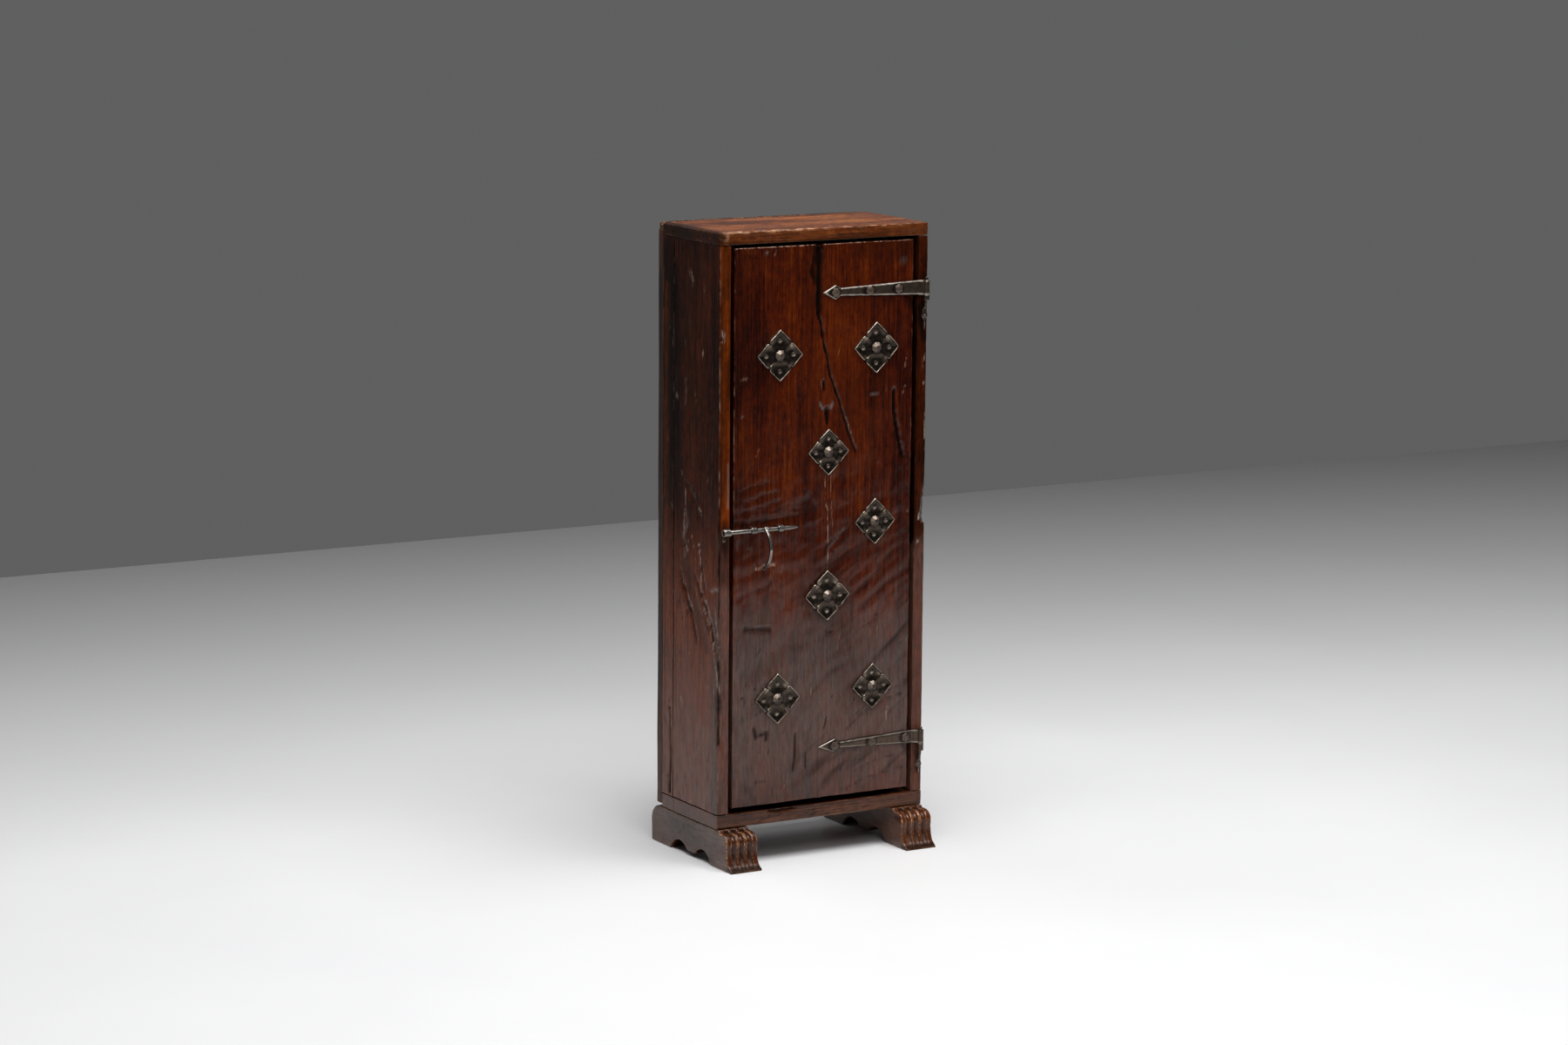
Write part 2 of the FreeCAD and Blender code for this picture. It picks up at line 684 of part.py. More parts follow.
def strap_leaf(which, z):
    """The tapered leaf with its arrow head, bevelled along the front edges."""
    tip = mm(AXIS_X) - size(f"{which}_strap_length")
    end = mm(AXIS_X) - size("strap_web_length")
    leaf, neck, root = (size(f"{which}_{part}_width") / 2 for part in ("leaf", "neck", "end"))
    stations = [
        (tip + size(f"{which}_leaf_length"), leaf),
        (tip + size(f"{which}_neck_length"), neck),
        (end, root),
    ]
    front = mm(FRONT)
    upper = [Vector(x, front, z + half) for x, half in stations]
    lower = [Vector(x, front, z - half) for x, half in reversed(stations)]
    plate = face_through([Vector(tip, front, z)] + upper + lower).extrude(OUT_FRONT * size("strap_thick"))
    bevelled = []
    near = plate.BoundBox.DiagonalLength * NEAR_SHARE
    for edge in plate.Edges:
        ends = [vertex.Point for vertex in edge.Vertexes]
        on_front = all(abs(p.y - front + size("strap_thick")) < near for p in ends)
        at_eye = all(abs(p.x - end) < near for p in ends)
        if on_front and not at_eye:
            bevelled.append(edge)
    return plate.makeChamfer(size("strap_bevel"), bevelled)


def strap_eye(which, z):
    """The rolled eye at the strap's end and the web that carries it clear of the stile."""
    half = size(f"{which}_end_width") / 2
    x, y, front = mm(AXIS_X), mm(AXIS_Y), mm(FRONT)
    radius = size("eye_radius")
    low = Vector(x, y, z - half)
    end = x - size("strap_web_length")
    behind = front - size("stile_gap")
    web = face_through([
        Vector(end, front, low.z), Vector(x - radius / 2, behind, low.z), Vector(x, y + radius, low.z),
        Vector(x - radius, y, low.z), Vector(end, front - size("strap_thick"), low.z),
    ]).extrude(Vector(0, 0, 2 * half))
    made = Part.makeCylinder(radius, 2 * half, low).fuse(web)
    relief = Part.makeBox(
        size("carcass_width"), size("overrun"), 2 * half,
        Vector(mm(DOOR_RIGHT), behind, low.z))
    return made, relief


def strap_bore(which, z):
    half = size(f"{which}_end_width") / 2 + size("overrun")
    bore = size("pin_radius") + size("pin_running_gap")
    return Part.makeCylinder(bore, 2 * half, Vector(mm(AXIS_X), mm(AXIS_Y), z - half))


def strap_nail_bite():
    return size("strap_thick") + size("nail_bite")


def make_straps():
    """Two forged straps nailed across the door, each turned into an eye over its pintle."""
    heads = []
    for which, place in (("upper", UPPER_STRAP_Z), ("lower", LOWER_STRAP_Z)):
        z = mm(place)
        eye, relief = strap_eye(which, z)
        form = strap_leaf(which, z).fuse(eye).cut(relief).cut(strap_bore(which, z)).removeSplitter()
        name = f"{which}_hinge_strap"
        points = strap_nail_points(which)
        holes = [nail_hole(strap_nail_bite(), p, OUT_FRONT) for p in points]
        keep(name, cut(name, feature(name + "_blank", form), holes))
        for number, point in enumerate(points):
            turn = number * SMALL_NAIL_TURN
            heads.append(forged_nail(
                size("strap_nail_head"), size("strap_nail_rise"), strap_nail_bite(), turn, point, OUT_FRONT))
    keep("strap_nails", feature("strap_nails", Part.makeCompound(heads)))


def pintle_sizes(which):
    """Heights of a pintle: its bush's top and foot, its plate's top and tail."""
    z = mm(UPPER_STRAP_Z if which == "upper" else LOWER_STRAP_Z)
    top = z - size(f"{which}_end_width") / 2 - size("bearing_gap")
    foot = top - size(f"{which}_bush_height")
    plate = foot - size(f"{which}_shank_length")
    return top, foot, plate, plate - size(f"{which}_plate_length")


def pintle_nail_point(which):
    """The nail's place on the front face of a pintle's plate."""
    _, _, plate, tail = pintle_sizes(which)
    return Vector(mm(AXIS_X), mm(FRONT) - size("plate_thick"), plate - (plate - tail) * PLATE_NAIL_SHARE)


def pintle(which):
    """An upright pin on a bush, its shank bent back into a spear-shaped plate on the stile."""
    x, y, front = mm(AXIS_X), mm(AXIS_Y), mm(FRONT)
    top, foot, plate, tail = pintle_sizes(which)
    eye_top = top + size("bearing_gap") + size(f"{which}_end_width")
    pin = Part.makeCylinder(size("pin_radius"), eye_top + size("pin_standing") - foot, Vector(x, y, foot))
    bush = Part.makeCylinder(size("eye_radius"), top - foot, Vector(x, y, foot))
    radius = size("shank_radius")
    start, end = Vector(x, y, foot + radius), Vector(x, front - radius - size("stile_gap"), plate)
    shank = Part.makeCylinder(radius, (end - start).Length, start, end - start)
    half = size("plate_width") / 2
    waist = half * PLATE_TAIL_SHARE
    widest = pintle_nail_point(which).z
    shoulder = plate - (plate - tail) * PLATE_SHOULDER_SHARE
    outline = [
        (-radius, plate + radius), (radius, plate + radius), (half, widest), (waist, shoulder),
        (0, tail), (-waist, shoulder), (-half, widest),
    ]
    spear = face_through([Vector(x + across, front, height) for across, height in outline])
    spear = spear.extrude(OUT_FRONT * size("plate_thick"))
    return pin.fuse([bush, shank, spear]).removeSplitter()


def pintle_nail_bite():
    return size("plate_thick") + size("nail_bite")


def keeper_nail_point():
    """The small nail under the bolt's keeper, on the left stile."""
    middle = mm(f"{KEEPER_LEFT} + Sizes.keeper_length / 2")
    drop = size("keeper_radius") + size("small_nail_head")
    return Vector(middle, mm(FRONT), mm(BOLT_Z) - drop)


def keeper_stem():
    """The stem that holds the keeper in the stile, from its bore into the wood."""
    side = size("keeper_stem_width")
    reach = size("bolt_proud") + size("keeper_stem_bite")
    left = mm(KEEPER_LEFT) + (size("keeper_length") - side) / 2
    return Part.makeBox(side, reach, side, Vector(left, mm(BOLT_Y), mm(BOLT_Z) - side / 2))


def stile_holes(side):
    """Nail holes and the keeper's mortise in a side board's front edge."""
    if side == "right":
        bite = pintle_nail_bite()
        return [nail_hole(bite, pintle_nail_point(which), OUT_FRONT) for which in ("upper", "lower")]
    return [keeper_stem(), nail_hole(size("nail_bite"), keeper_nail_point(), OUT_FRONT)]


def make_pintles():
    bite = pintle_nail_bite()
    heads = []
    for number, which in enumerate(("upper", "lower")):
        name = f"{which}_pintle"
        point = pintle_nail_point(which)
        blank = feature(name + "_blank", pintle(which))
        keep(name, cut(name, blank, [nail_hole(bite, point, OUT_FRONT)]))
        heads.append(small_nail(bite, number, point, OUT_FRONT))
    keep("pintle_nails", feature("pintle_nails", Part.makeCompound(heads)))


def rosette_outline(half, height):
    """A four-lobed quatrefoil: pointed lobes whose eased shoulders meet in small notches."""
    half_lobe = [Vector(u * half, v * half, height) for u, v in HALF_LOBE_SHARES]
    lobe = half_lobe + [Vector(p.y, p.x, p.z) for p in reversed(half_lobe[1:-1])]
    return face_through([Rotation(UP, 90.0 * quarter).multVec(p) for quarter in range(4) for p in lobe])


def rosette(across):
    """A chased iron plate: raised rim, sunk field and a round boss in each lobe."""
    half = across / 2
    rim, field = size("rosette_rim_height"), size("rosette_field_height")
    plate = rosette_outline(half, 0).extrude(Vector(0, 0, rim))
    inner = rosette_outline(half - size("rosette_rim_width") * math.sqrt(2), field)
    plate = plate.cut(inner.extrude(Vector(0, 0, rim)))
    for quarter in range(4):
        boss = faceted([
            flat_ring(NAIL_SIDES, size("boss_width"), field),
            flat_ring(NAIL_SIDES, size("boss_top_width"), field + size("boss_rise")),
        ])
        boss.translate(Rotation(UP, 90.0 * quarter).multVec(Vector(half * BOSS_PLACE_SHARE, 0, 0)))
        plate = plate.fuse(boss)
    return plate


def rosette_places():
    """Each rosette's name, middle on the door's face, and size across its points."""
    width, height = mm(f"{DOOR_RIGHT} - {DOOR_LEFT}"), mm(f"{DOOR_HIGH} - {DOOR_LOW}")
    return [
        (name, Vector(mm(DOOR_LEFT) + width * u, mm(FRONT), mm(DOOR_LOW) + height * v), size(across))
        for name, (u, v, across) in ROSETTE_PLACE_SHARES.items()
    ]


def rosette_nail_seat(middle):
    return middle + OUT_FRONT * size("rosette_field_height")


def rosette_nail_bite():
    return size("rosette_field_height") + size("nail_bite")


def make_rosettes():
    """Seven quatrefoil plates, each held by one large faceted nail."""
    heads = []
    for (name, middle, across), turn in zip(rosette_places(), NAIL_TURNS):
        form = rosette(across)
        form.Placement = Placement(middle, Rotation(UP, OUT_FRONT))
        seat = rosette_nail_seat(middle)
        blank = feature(name + "_blank", form)
        keep(name, cut(name, blank, [nail_hole(rosette_nail_bite(), seat, OUT_FRONT)]))
        heads.append(forged_nail(
            size("rosette_nail_head"), size("rosette_nail_rise"), rosette_nail_bite(), turn, seat,
            OUT_FRONT, NAIL_SIDES))
    keep("rosette_nails", feature("rosette_nails", Part.makeCompound(heads)))


def staple_places():
    return {
        "bolt_staple_left": mm(ROD_LEFT) + size("left_staple_place"),
        "bolt_staple_right": mm(ROD_LEFT) + size("right_staple_place"),
    }


def staple(middle):
    """A bent strip over the rod, with its two legs driven into the door."""
    inner = size("rod_radius") + size("staple_play")
    outer = inner + size("staple_thick")
    width = size("staple_width")
    y, z = mm(BOLT_Y), mm(BOLT_Z)
    start = Vector(middle - width / 2, y, z)
    along = Vector(1, 0, 0)
    reach = size("bolt_proud") + size("staple_bite")
    blank = prism(FORGED_SIDES, 2 * outer, width, start, along)
    blank = blank.fuse(Part.makeBox(width, reach, 2 * outer, start + Vector(0, 0, -outer)))
    bore = Part.makeCylinder(inner, width, start, along)
    slot = Part.makeBox(width, reach, 2 * inner, start + Vector(0, 0, -inner))
    return blank.cut(bore.fuse(slot))


def make_bolt_mounts():
    """The two staples on the door, and the keeper ring on the left stile."""
    for name, middle in staple_places().items():
        keep(name, feature(name, staple(middle)))
    start = Vector(mm(KEEPER_LEFT), mm(BOLT_Y), mm(BOLT_Z))
    along = Vector(1, 0, 0)
    length = size("keeper_length")
    ring = prism(FORGED_SIDES, 2 * size("keeper_radius"), length, start, along).fuse(keeper_stem())
    ring = ring.cut(Part.makeCylinder(size("keeper_bore_radius"), length, start, along))
    keep("bolt_keeper", feature("bolt_keeper", ring))
    nail = small_nail(size("nail_bite"), 1, keeper_nail_point(), OUT_FRONT)
    keep("keeper_nail", feature("keeper_nail", nail))


def make_rod():
    """The round bolt, with a blunt end, a neck for the handle's eye and a long pointed nose."""
    body = doc.addObject("PartDesign::Body", "bolt_rod_body")
    half = body.newObject("Sketcher::SketchObject", "bolt_rod_section")
    half.AttachmentSupport = [(plane(body, "XY_Plane"), "")]
    half.MapMode = "FlatFace"
    length, radius = size("rod_length"), size("rod_radius")
    ease, nose = size("rod_end_ease"), size("rod_nose_length")
    neck, tip = size("rod_neck_radius"), size("rod_nose_radius")
    neck_half = size("handle_eye_width") / 2 + size("handle_side_gap")
    place = size("handle_place")
    corners = [
        (0, 0), (0, radius - ease), (ease, radius),
        (place - neck_half, radius), (place - neck_half, neck),
        (place + neck_half, neck), (place + neck_half, radius),
        (length - nose, radius), (length - nose, 0),
    ]
    points = [Vector(x, y, 0) for x, y in corners]
    for start, end in zip(points, points[1:] + points[:1]):
        half.addGeometry(Part.LineSegment(start, end), False)
    turned = body.newObject("PartDesign::Revolution", "bolt_rod_turned")
    turned.Profile = half
    turned.ReferenceAxis = (half, ["H_Axis"])
    turned.Angle = 360
    body.setExpression("Placement.Base.x", ROD_LEFT)
    body.setExpression("Placement.Base.y", BOLT_Y)
    body.setExpression("Placement.Base.z", BOLT_Z)
    point = faceted([
        flat_ring(FORGED_SIDES, 2 * radius * math.cos(math.pi / FORGED_SIDES), 0),
        flat_ring(FORGED_SIDES, (2 * radius + tip) * NOSE_WAIST_SHARE, nose * NOSE_WAIST_SHARE),
        flat_ring(FORGED_SIDES, 2 * tip, nose),
    ])
    start = Vector(mm(ROD_LEFT) + length - nose, mm(BOLT_Y), mm(BOLT_Z))
    point.Placement = Placement(start, Rotation(UP, Vector(1, 0, 0)))
    joined = doc.addObject("Part::Fuse", "bolt_rod_whole")
    joined.Base = body
    joined.Tool = feature("bolt_rod_nose", point)
    keep("bolt_rod", joined)


def make_handle():
    """The drop handle: an eye round the rod's neck and a bowed arm whose tip nears the door."""
    x = mm(ROD_LEFT) + size("handle_place")
    y, z = mm(BOLT_Y), mm(BOLT_Z)
    width, outer = size("handle_eye_width"), size("handle_eye_radius")
    inner = size("rod_neck_radius") + size("handle_eye_gap")
    along = Vector(1, 0, 0)
    eye_start = Vector(x - width / 2, y, z)
    eye = Part.makeCylinder(outer, width, eye_start, along)
    drop, bow, back = size("handle_drop"), size("handle_bow"), size("handle_return")
    start = Vector(x, y - (outer + inner) / 2, z)
    middle = Vector(x, y - bow, z - drop / 2)
    end = Vector(x, y + back, z - drop)
    bend = Part.Arc(start, middle, end).toShape()
    turned = math.degrees(bend.LastParameter - bend.FirstParameter)
    spoke = (start - bend.Curve.Center).normalize()
    half_width, half_thick = along * size("handle_width") / 2, spoke * size("handle_thick") / 2
    section = face_through([
        start + half_width + half_thick, start + half_width - half_thick,
        start - half_width - half_thick, start - half_width + half_thick,
    ])
    arm = section.revolve(bend.Curve.Center, bend.Curve.Axis, turned)
    tip_radius = size("handle_tip_radius")
    tip = Part.makeCylinder(tip_radius, width, end - along * width / 2, along)
    form = eye.fuse([arm, tip]).cut(Part.makeCylinder(inner, width, eye_start, along))
    keep("bolt_handle", feature("bolt_handle", form))


def make_door():
    """One thick plank, with the holes of every nail and staple that is driven into it."""
    blank = board("door_panel", (DOOR_LEFT, DOOR_RIGHT), (FRONT, DOOR_BACK), (DOOR_LOW, DOOR_HIGH),
                  (("x-", "y-"), ("x+", "y-"), ("y-", "z-"), ("y-", "z+")), "door_ease")
    strap_nails = strap_nail_points("upper") + strap_nail_points("lower")
    seats = [rosette_nail_seat(middle) for _, middle, _ in rosette_places()]
    tools = [nail_hole(strap_nail_bite(), point, OUT_FRONT) for point in strap_nails]
    tools += [nail_hole(rosette_nail_bite(), seat, OUT_FRONT) for seat in seats]
    tools += [staple(middle) for middle in staple_places().values()]
    keep("door_panel", cut("door_panel", blank, tools))


def write_parts():
    """Check every object and shape, then write one file for each sub-part."""
    doc.recompute()
    for made in doc.Objects:
        bad = [state for state in made.State if state in ("Invalid", "Error")]
        if bad:
            raise RuntimeError(f"{made.Label} is {bad}")
    for name, made in nodes.items():
        if made.Shape.isNull() or not made.Shape.isValid() or not made.Shape.Solids:
            raise RuntimeError(f"{name} has no valid solid")
    os.makedirs("parts", exist_ok=True)
    for name, made in nodes.items():
        made.Shape.exportStep(f"parts/{name}.step")
    print(len(nodes), "nodes written")


make_carcass()
make_back()
make_shelves()
make_feet()
make_door()
make_straps()
make_pintles()
make_rosettes()
make_bolt_mounts()
make_rod()
make_handle()
write_parts()
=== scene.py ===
"""The looks of the small cabinet of old boards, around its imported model.

Shapes are worked out in millimetres in the row frame and written to Blender in metres.
"""

import json
import math
from itertools import product

import bpy
import numpy as np
from mathutils import Matrix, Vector
from mathutils.kdtree import KDTree


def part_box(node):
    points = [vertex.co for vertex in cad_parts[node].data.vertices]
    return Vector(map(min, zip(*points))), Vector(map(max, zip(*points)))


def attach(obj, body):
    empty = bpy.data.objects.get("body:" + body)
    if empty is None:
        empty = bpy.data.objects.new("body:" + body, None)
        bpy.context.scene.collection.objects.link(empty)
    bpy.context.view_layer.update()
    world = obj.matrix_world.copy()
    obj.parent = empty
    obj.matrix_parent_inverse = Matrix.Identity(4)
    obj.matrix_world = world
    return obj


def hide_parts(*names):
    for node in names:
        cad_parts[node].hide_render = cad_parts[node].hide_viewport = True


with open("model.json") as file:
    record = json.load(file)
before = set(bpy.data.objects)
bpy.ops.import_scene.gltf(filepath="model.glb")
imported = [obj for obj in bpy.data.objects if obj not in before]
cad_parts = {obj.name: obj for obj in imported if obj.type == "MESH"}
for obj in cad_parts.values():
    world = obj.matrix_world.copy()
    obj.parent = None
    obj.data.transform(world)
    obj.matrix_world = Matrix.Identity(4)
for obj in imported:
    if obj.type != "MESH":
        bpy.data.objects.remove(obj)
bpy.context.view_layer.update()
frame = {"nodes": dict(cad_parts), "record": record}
NODES = frame["nodes"]
RECORD = frame["record"]
BODY_OF = {node: body for body, members in RECORD["behaviour"]["bodies"].items() for node in members}

X, Y, Z = 0, 1, 2
AXES = "xyz"
MM = 1000.0
# The planes of the door's and the stiles' front, and of the left side
FRONT = -85.0
LEFT_SIDE = -188.0
# How far from a board's ends the first grid lines lie
EDGE_LINES = (0.0, 0.5, 1.2, 2.1, 3.2, 4.6, 6.4, 8.8)
# Shifts of the points into parts of the noise of their own
WAVES, WEAR, WARMTH, REDNESS, GREYNESS, DENTS, RUBBED, BEVEL, FOOT_SIDES, CHASED, LIP = (
    500, 900, 77, 11, 33, 700, 300, 40, 61, 50, 90)


def lattice(i, j, k, seed):
    """A repeatable number from 0 to 1 for each whole-number place."""
    mixed = (i * 374761393 + j * 668265263 + k * 2147483647 + seed * 1274126177) & 0xFFFFFFFF
    mixed = ((mixed ^ (mixed >> 13)) * 1274126177) & 0xFFFFFFFF
    return ((mixed ^ (mixed >> 16)) & 0xFFFF) / 65535.0


def noise(points, pitch, seed):
    """Smooth noise from -1 to 1 at points, with that pitch along each axis."""
    q = points / np.asarray(pitch, float)
    base = np.floor(q).astype(np.int64)
    share = q - base
    share = share * share * (3 - 2 * share)
    total = np.zeros(len(q))
    for corner in range(8):
        step = np.array([corner & 1, corner >> 1 & 1, corner >> 2 & 1])
        weight = np.where(step, share, 1 - share).prod(axis=1)
        total += weight * lattice(*(base + step).T, seed)
    return total * 2 - 1


def layered(points, pitch, seed, layers=3):
    """Noise with finer and weaker layers on top."""
    pitch = np.asarray(pitch, float)
    return sum(noise(points, pitch / 2 ** n, seed + 31 * n) / 2 ** n for n in range(layers)) / 1.6


def patchy(points, pitch, seed, layers=3):
    """The same noise, from 0 to 1."""
    return 0.5 + 0.5 * layered(points, pitch, seed, layers)


def stretched(across, along, grain):
    """A measure for each axis, another one along the grain."""
    return tuple(along if axis == grain else across for axis in range(3))


def smooth(low, high, value):
    """0 at low, 1 at high, and an even curve between, rising or falling."""
    t = np.clip((value - low) / (high - low), 0, 1)
    return t * t * (3 - 2 * t)


# Meshes

def grid_lines(low, high, step, extra=()):
    """Places of grid lines between two ends, close together near both ends."""
    half = (high - low) / 2
    near = [v for v in EDGE_LINES if v < half * 0.8]
    count = max(1, round((high - low - 2 * near[-1]) / step))
    middle = np.linspace(low + near[-1], high - near[-1], count + 1)
    lines = np.concatenate([low + np.array(near), middle, high - np.array(near), np.array(extra, float)])
    lines = np.unique(np.round(lines, 3))
    keep = np.concatenate([[True], np.diff(lines) > 0.12])
    keep[-1] = True
    return lines[keep]


def box_grid(lines):
    """Points and quads of a box's six sides, gridded along three sets of lines."""
    shape = tuple(len(one) for one in lines)
    skin = np.ones(shape, bool)
    skin[1:-1, 1:-1, 1:-1] = False
    number = np.full(shape, -1)
    number[skin] = np.arange(skin.sum())
    points = np.stack(np.meshgrid(*lines, indexing="ij"), -1)[skin]
    quads = []
    for axis in range(3):
        for end in (0, -1):
            sheet = np.take(number, end, axis)
            quad = np.stack([sheet[:-1, :-1], sheet[1:, :-1], sheet[1:, 1:], sheet[:-1, 1:]], -1)
            quad = quad.reshape(-1, 4)
            inward = (axis == 1) != (end == 0)
            quads.append(quad[:, ::-1] if inward else quad)
    return points, np.concatenate(quads)


def normals_of(points, quads):
    across = np.cross(points[quads[:, 2]] - points[quads[:, 0]], points[quads[:, 3]] - points[quads[:, 1]])
    out = np.zeros_like(points)
    for axis in range(3):
        for corner in range(4):
            out[:, axis] += np.bincount(quads[:, corner], across[:, axis], len(points))
    return out / np.maximum(np.linalg.norm(out, axis=1), 1e-9)[:, None]


def ease(points, low, high, radius, special, seed):
    """Rounds a box's twelve edges, each to its own uneven radius. Gives points and how worn they are."""
    points = points.copy()
    worn = np.zeros(len(points))
    for (a, b), end_a, end_b in product(((0, 1), (1, 2), (0, 2)), (0, 1), (0, 1)):
        along = 3 - a - b
        ends = ((a, end_a), (b, end_b))
        line = np.zeros((len(points), 3))
        line[:, 0] = points[:, along]
        line[:, 1] = 37.0 * (end_a + 2 * end_b + 4 * along) + seed
        r = special.get(AXES[a] + "-+"[end_a] + AXES[b] + "-+"[end_b], radius)
        r = r * (1 + 0.34 * layered(line, (46, 9, 9), seed))
        r = np.minimum(r, 0.45 * min(high[a] - low[a], high[b] - low[b]))
        sides = [high[i] - points[:, i] if end else points[:, i] - low[i] for i, end in ends]
        inside = (sides[0] < r) & (sides[1] < r)
        v = np.stack([r - sides[0], r - sides[1]], -1)
        length = np.maximum(np.linalg.norm(v, axis=1), 1e-9)
        moved = v * (np.minimum(r, length) / length)[:, None]
        gone = np.linalg.norm(v - moved, axis=1)
        for (i, end), inward in zip(ends, moved.T):
            place = high[i] - (r - inward) if end else low[i] + (r - inward)
            points[:, i] = np.where(inside, place, points[:, i])
        worn = np.maximum(worn, np.where(inside, gone / (r * 0.3), 0))
    return points, np.clip(worn, 0, 1)


def along_path(points, path):
    """Distance of points from a polyline, and the share of its length at the nearest place."""
    path = np.asarray(path, float)
    if len(path) == 1:
        return np.linalg.norm(points - path[0], axis=1), np.zeros(len(points))
    lengths = np.linalg.norm(np.diff(path, axis=0), axis=1)
    done = np.concatenate([[0], np.cumsum(lengths)])
    best = np.full(len(points), 1e9)
    share = np.zeros(len(points))
    for start, end, length, before in zip(path[:-1], path[1:], lengths, done):
        t = np.clip((points - start) @ (end - start) / length ** 2, 0, 1)
        gap = np.linalg.norm(points - start - t[:, None] * (end - start), axis=1)
        nearer = gap < best
        best = np.where(nearer, gap, best)
        share = np.where(nearer, (before + t * length) / done[-1], share)
    return best, share


class Mark:
    """One mark on a board: a crack, gouge, dent, stain or scratch along a path.

    width is the half width, at the path's start and end. depth is how deep it goes at its middle.
    paint gives how far it changes "dark", "worn", "grey" and "warm" at its middle.
    """

    def __init__(self, path, width, depth=0.0, rough=0.25, sharp=1.0, **paint):
        self.path = np.asarray(path, float)
        self.width = width
        self.depth = depth
        self.rough = rough
        self.sharp = sharp
        self.paint = paint

    def press(self, points, seed):
        """The indices of the points that it reaches, and its weight there."""
        reach = max(self.width) * (1 + self.rough) + 1
        low, high = self.path.min(0) - reach, self.path.max(0) + reach
        near = np.flatnonzero(((points >= low) & (points <= high)).all(axis=1))
        if not len(near):
            return near, np.zeros(0)
        wobble = 0.45 * self.rough * min(max(self.width), 9.0)
        shaken = points[near].copy()
        for axis in range(3):
            shaken[:, axis] += wobble * layered(points[near], (9, 9, 11), seed + 50 + axis)
        gap, share = along_path(shaken, self.path)
        width = self.width[0] + (self.width[1] - self.width[0]) * share
        width = width * (1 + self.rough * layered(points[near], (8, 8, 17), seed))
        weight = np.clip(1 - (gap / np.maximum(width, 1e-3)) ** 2, 0, 1) ** self.sharp
        return near, weight * (1 - 0.55 * self.rough * patchy(points[near], (13, 13, 19), seed + 60))


def front(*pairs):
    """Points on the front plane from x and z."""
    return [(x, FRONT, z) for x, z in pairs]


def left(*pairs):
    """Points on the left side's plane from y and z."""
    return [(LEFT_SIDE, y, z) for y, z in pairs]


def mark_table(place, table):
    """Marks from rows of: path; half widths; depth, rough and sharp; paint.

    A point of the path has two numbers on the place's plane, or else three.
    """
    made = []
    for row in table.strip().splitlines():
        path, width, form, paint = ([part.split() for part in cell.split(",")] for cell in row.split(";"))
        spots = [tuple(map(float, spot)) for spot in path]
        spots = [spot if len(spot) == 3 else place(spot)[0] for spot in spots]
        width = (float(width[0][0]), float(width[0][-1]))
        made.append(Mark(spots, width, *map(float, form[0]), **{key: float(share) for key, share in paint}))
    return made


def add_object(name, data):
    made = bpy.data.objects.new(name, data)
    bpy.context.scene.collection.objects.link(made)
    return made


def add_paint(mesh, paint):
    """Writes the paint's values, from 0 to 1, as float attributes of the points."""
    for key, values in paint.items():
        field = mesh.attributes.new(key, "FLOAT", "POINT")
        field.data.foreach_set("value", np.clip(values, 0, 1).astype(np.float32))


def write_mesh(name, points, faces, paint, material, flat=False):
    """A mesh object in metres, painted. The faces are an array of quads or a list of any polygons."""
    mesh = bpy.data.meshes.new(name)
    if isinstance(faces, np.ndarray):
        mesh.vertices.add(len(points))
        mesh.vertices.foreach_set("co", (points / MM).astype(np.float32).ravel())
        mesh.loops.add(faces.size)
        mesh.loops.foreach_set("vertex_index", faces.astype(np.int32).ravel())
        mesh.polygons.add(len(faces))
        mesh.polygons.foreach_set("loop_start", np.arange(0, faces.size, faces.shape[1], dtype=np.int32))
        mesh.update(calc_edges=True)
        mesh.validate()
    else:
        mesh.from_pydata([tuple(p / MM) for p in points], [], faces)
    if not flat:
        mesh.shade_smooth()
    add_paint(mesh, paint)
    mesh.materials.append(material)
    return add_object(name, mesh)


def stand_for(made, node):
    """The piece takes the place of a CAD node, on its body."""
    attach(made, BODY_OF[node])
    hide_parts(node)
    return made


def limits(node):
    low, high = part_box(node)
    return np.array(low) * MM, np.array(high) * MM


def planed_waves(points, seed):
    """How deep the plane went into the door, most of all at the lower right, and painted shade in the deeper
    parts of its waves.
    """
    x, z = points[:, 0], points[:, 2]
    right = smooth(-60, 20, x) * smooth(560, 470, z)
    below = smooth(680, 560, z)
    steep = ripples(points, 0.6, 75, 12, seed)
    depth = 1.1 * right * steep + 0.9 * (1 - right) * below * ripples(points, 0.15, 60, 16, seed + 3)
    depth += 0.35 * below * ripples(points, 0.45, 34, 6, seed + 6)
    return depth, 0.42 * smooth(0.52, 0.85, steep) * smooth(600, 480, z) * (0.35 + 0.65 * right)


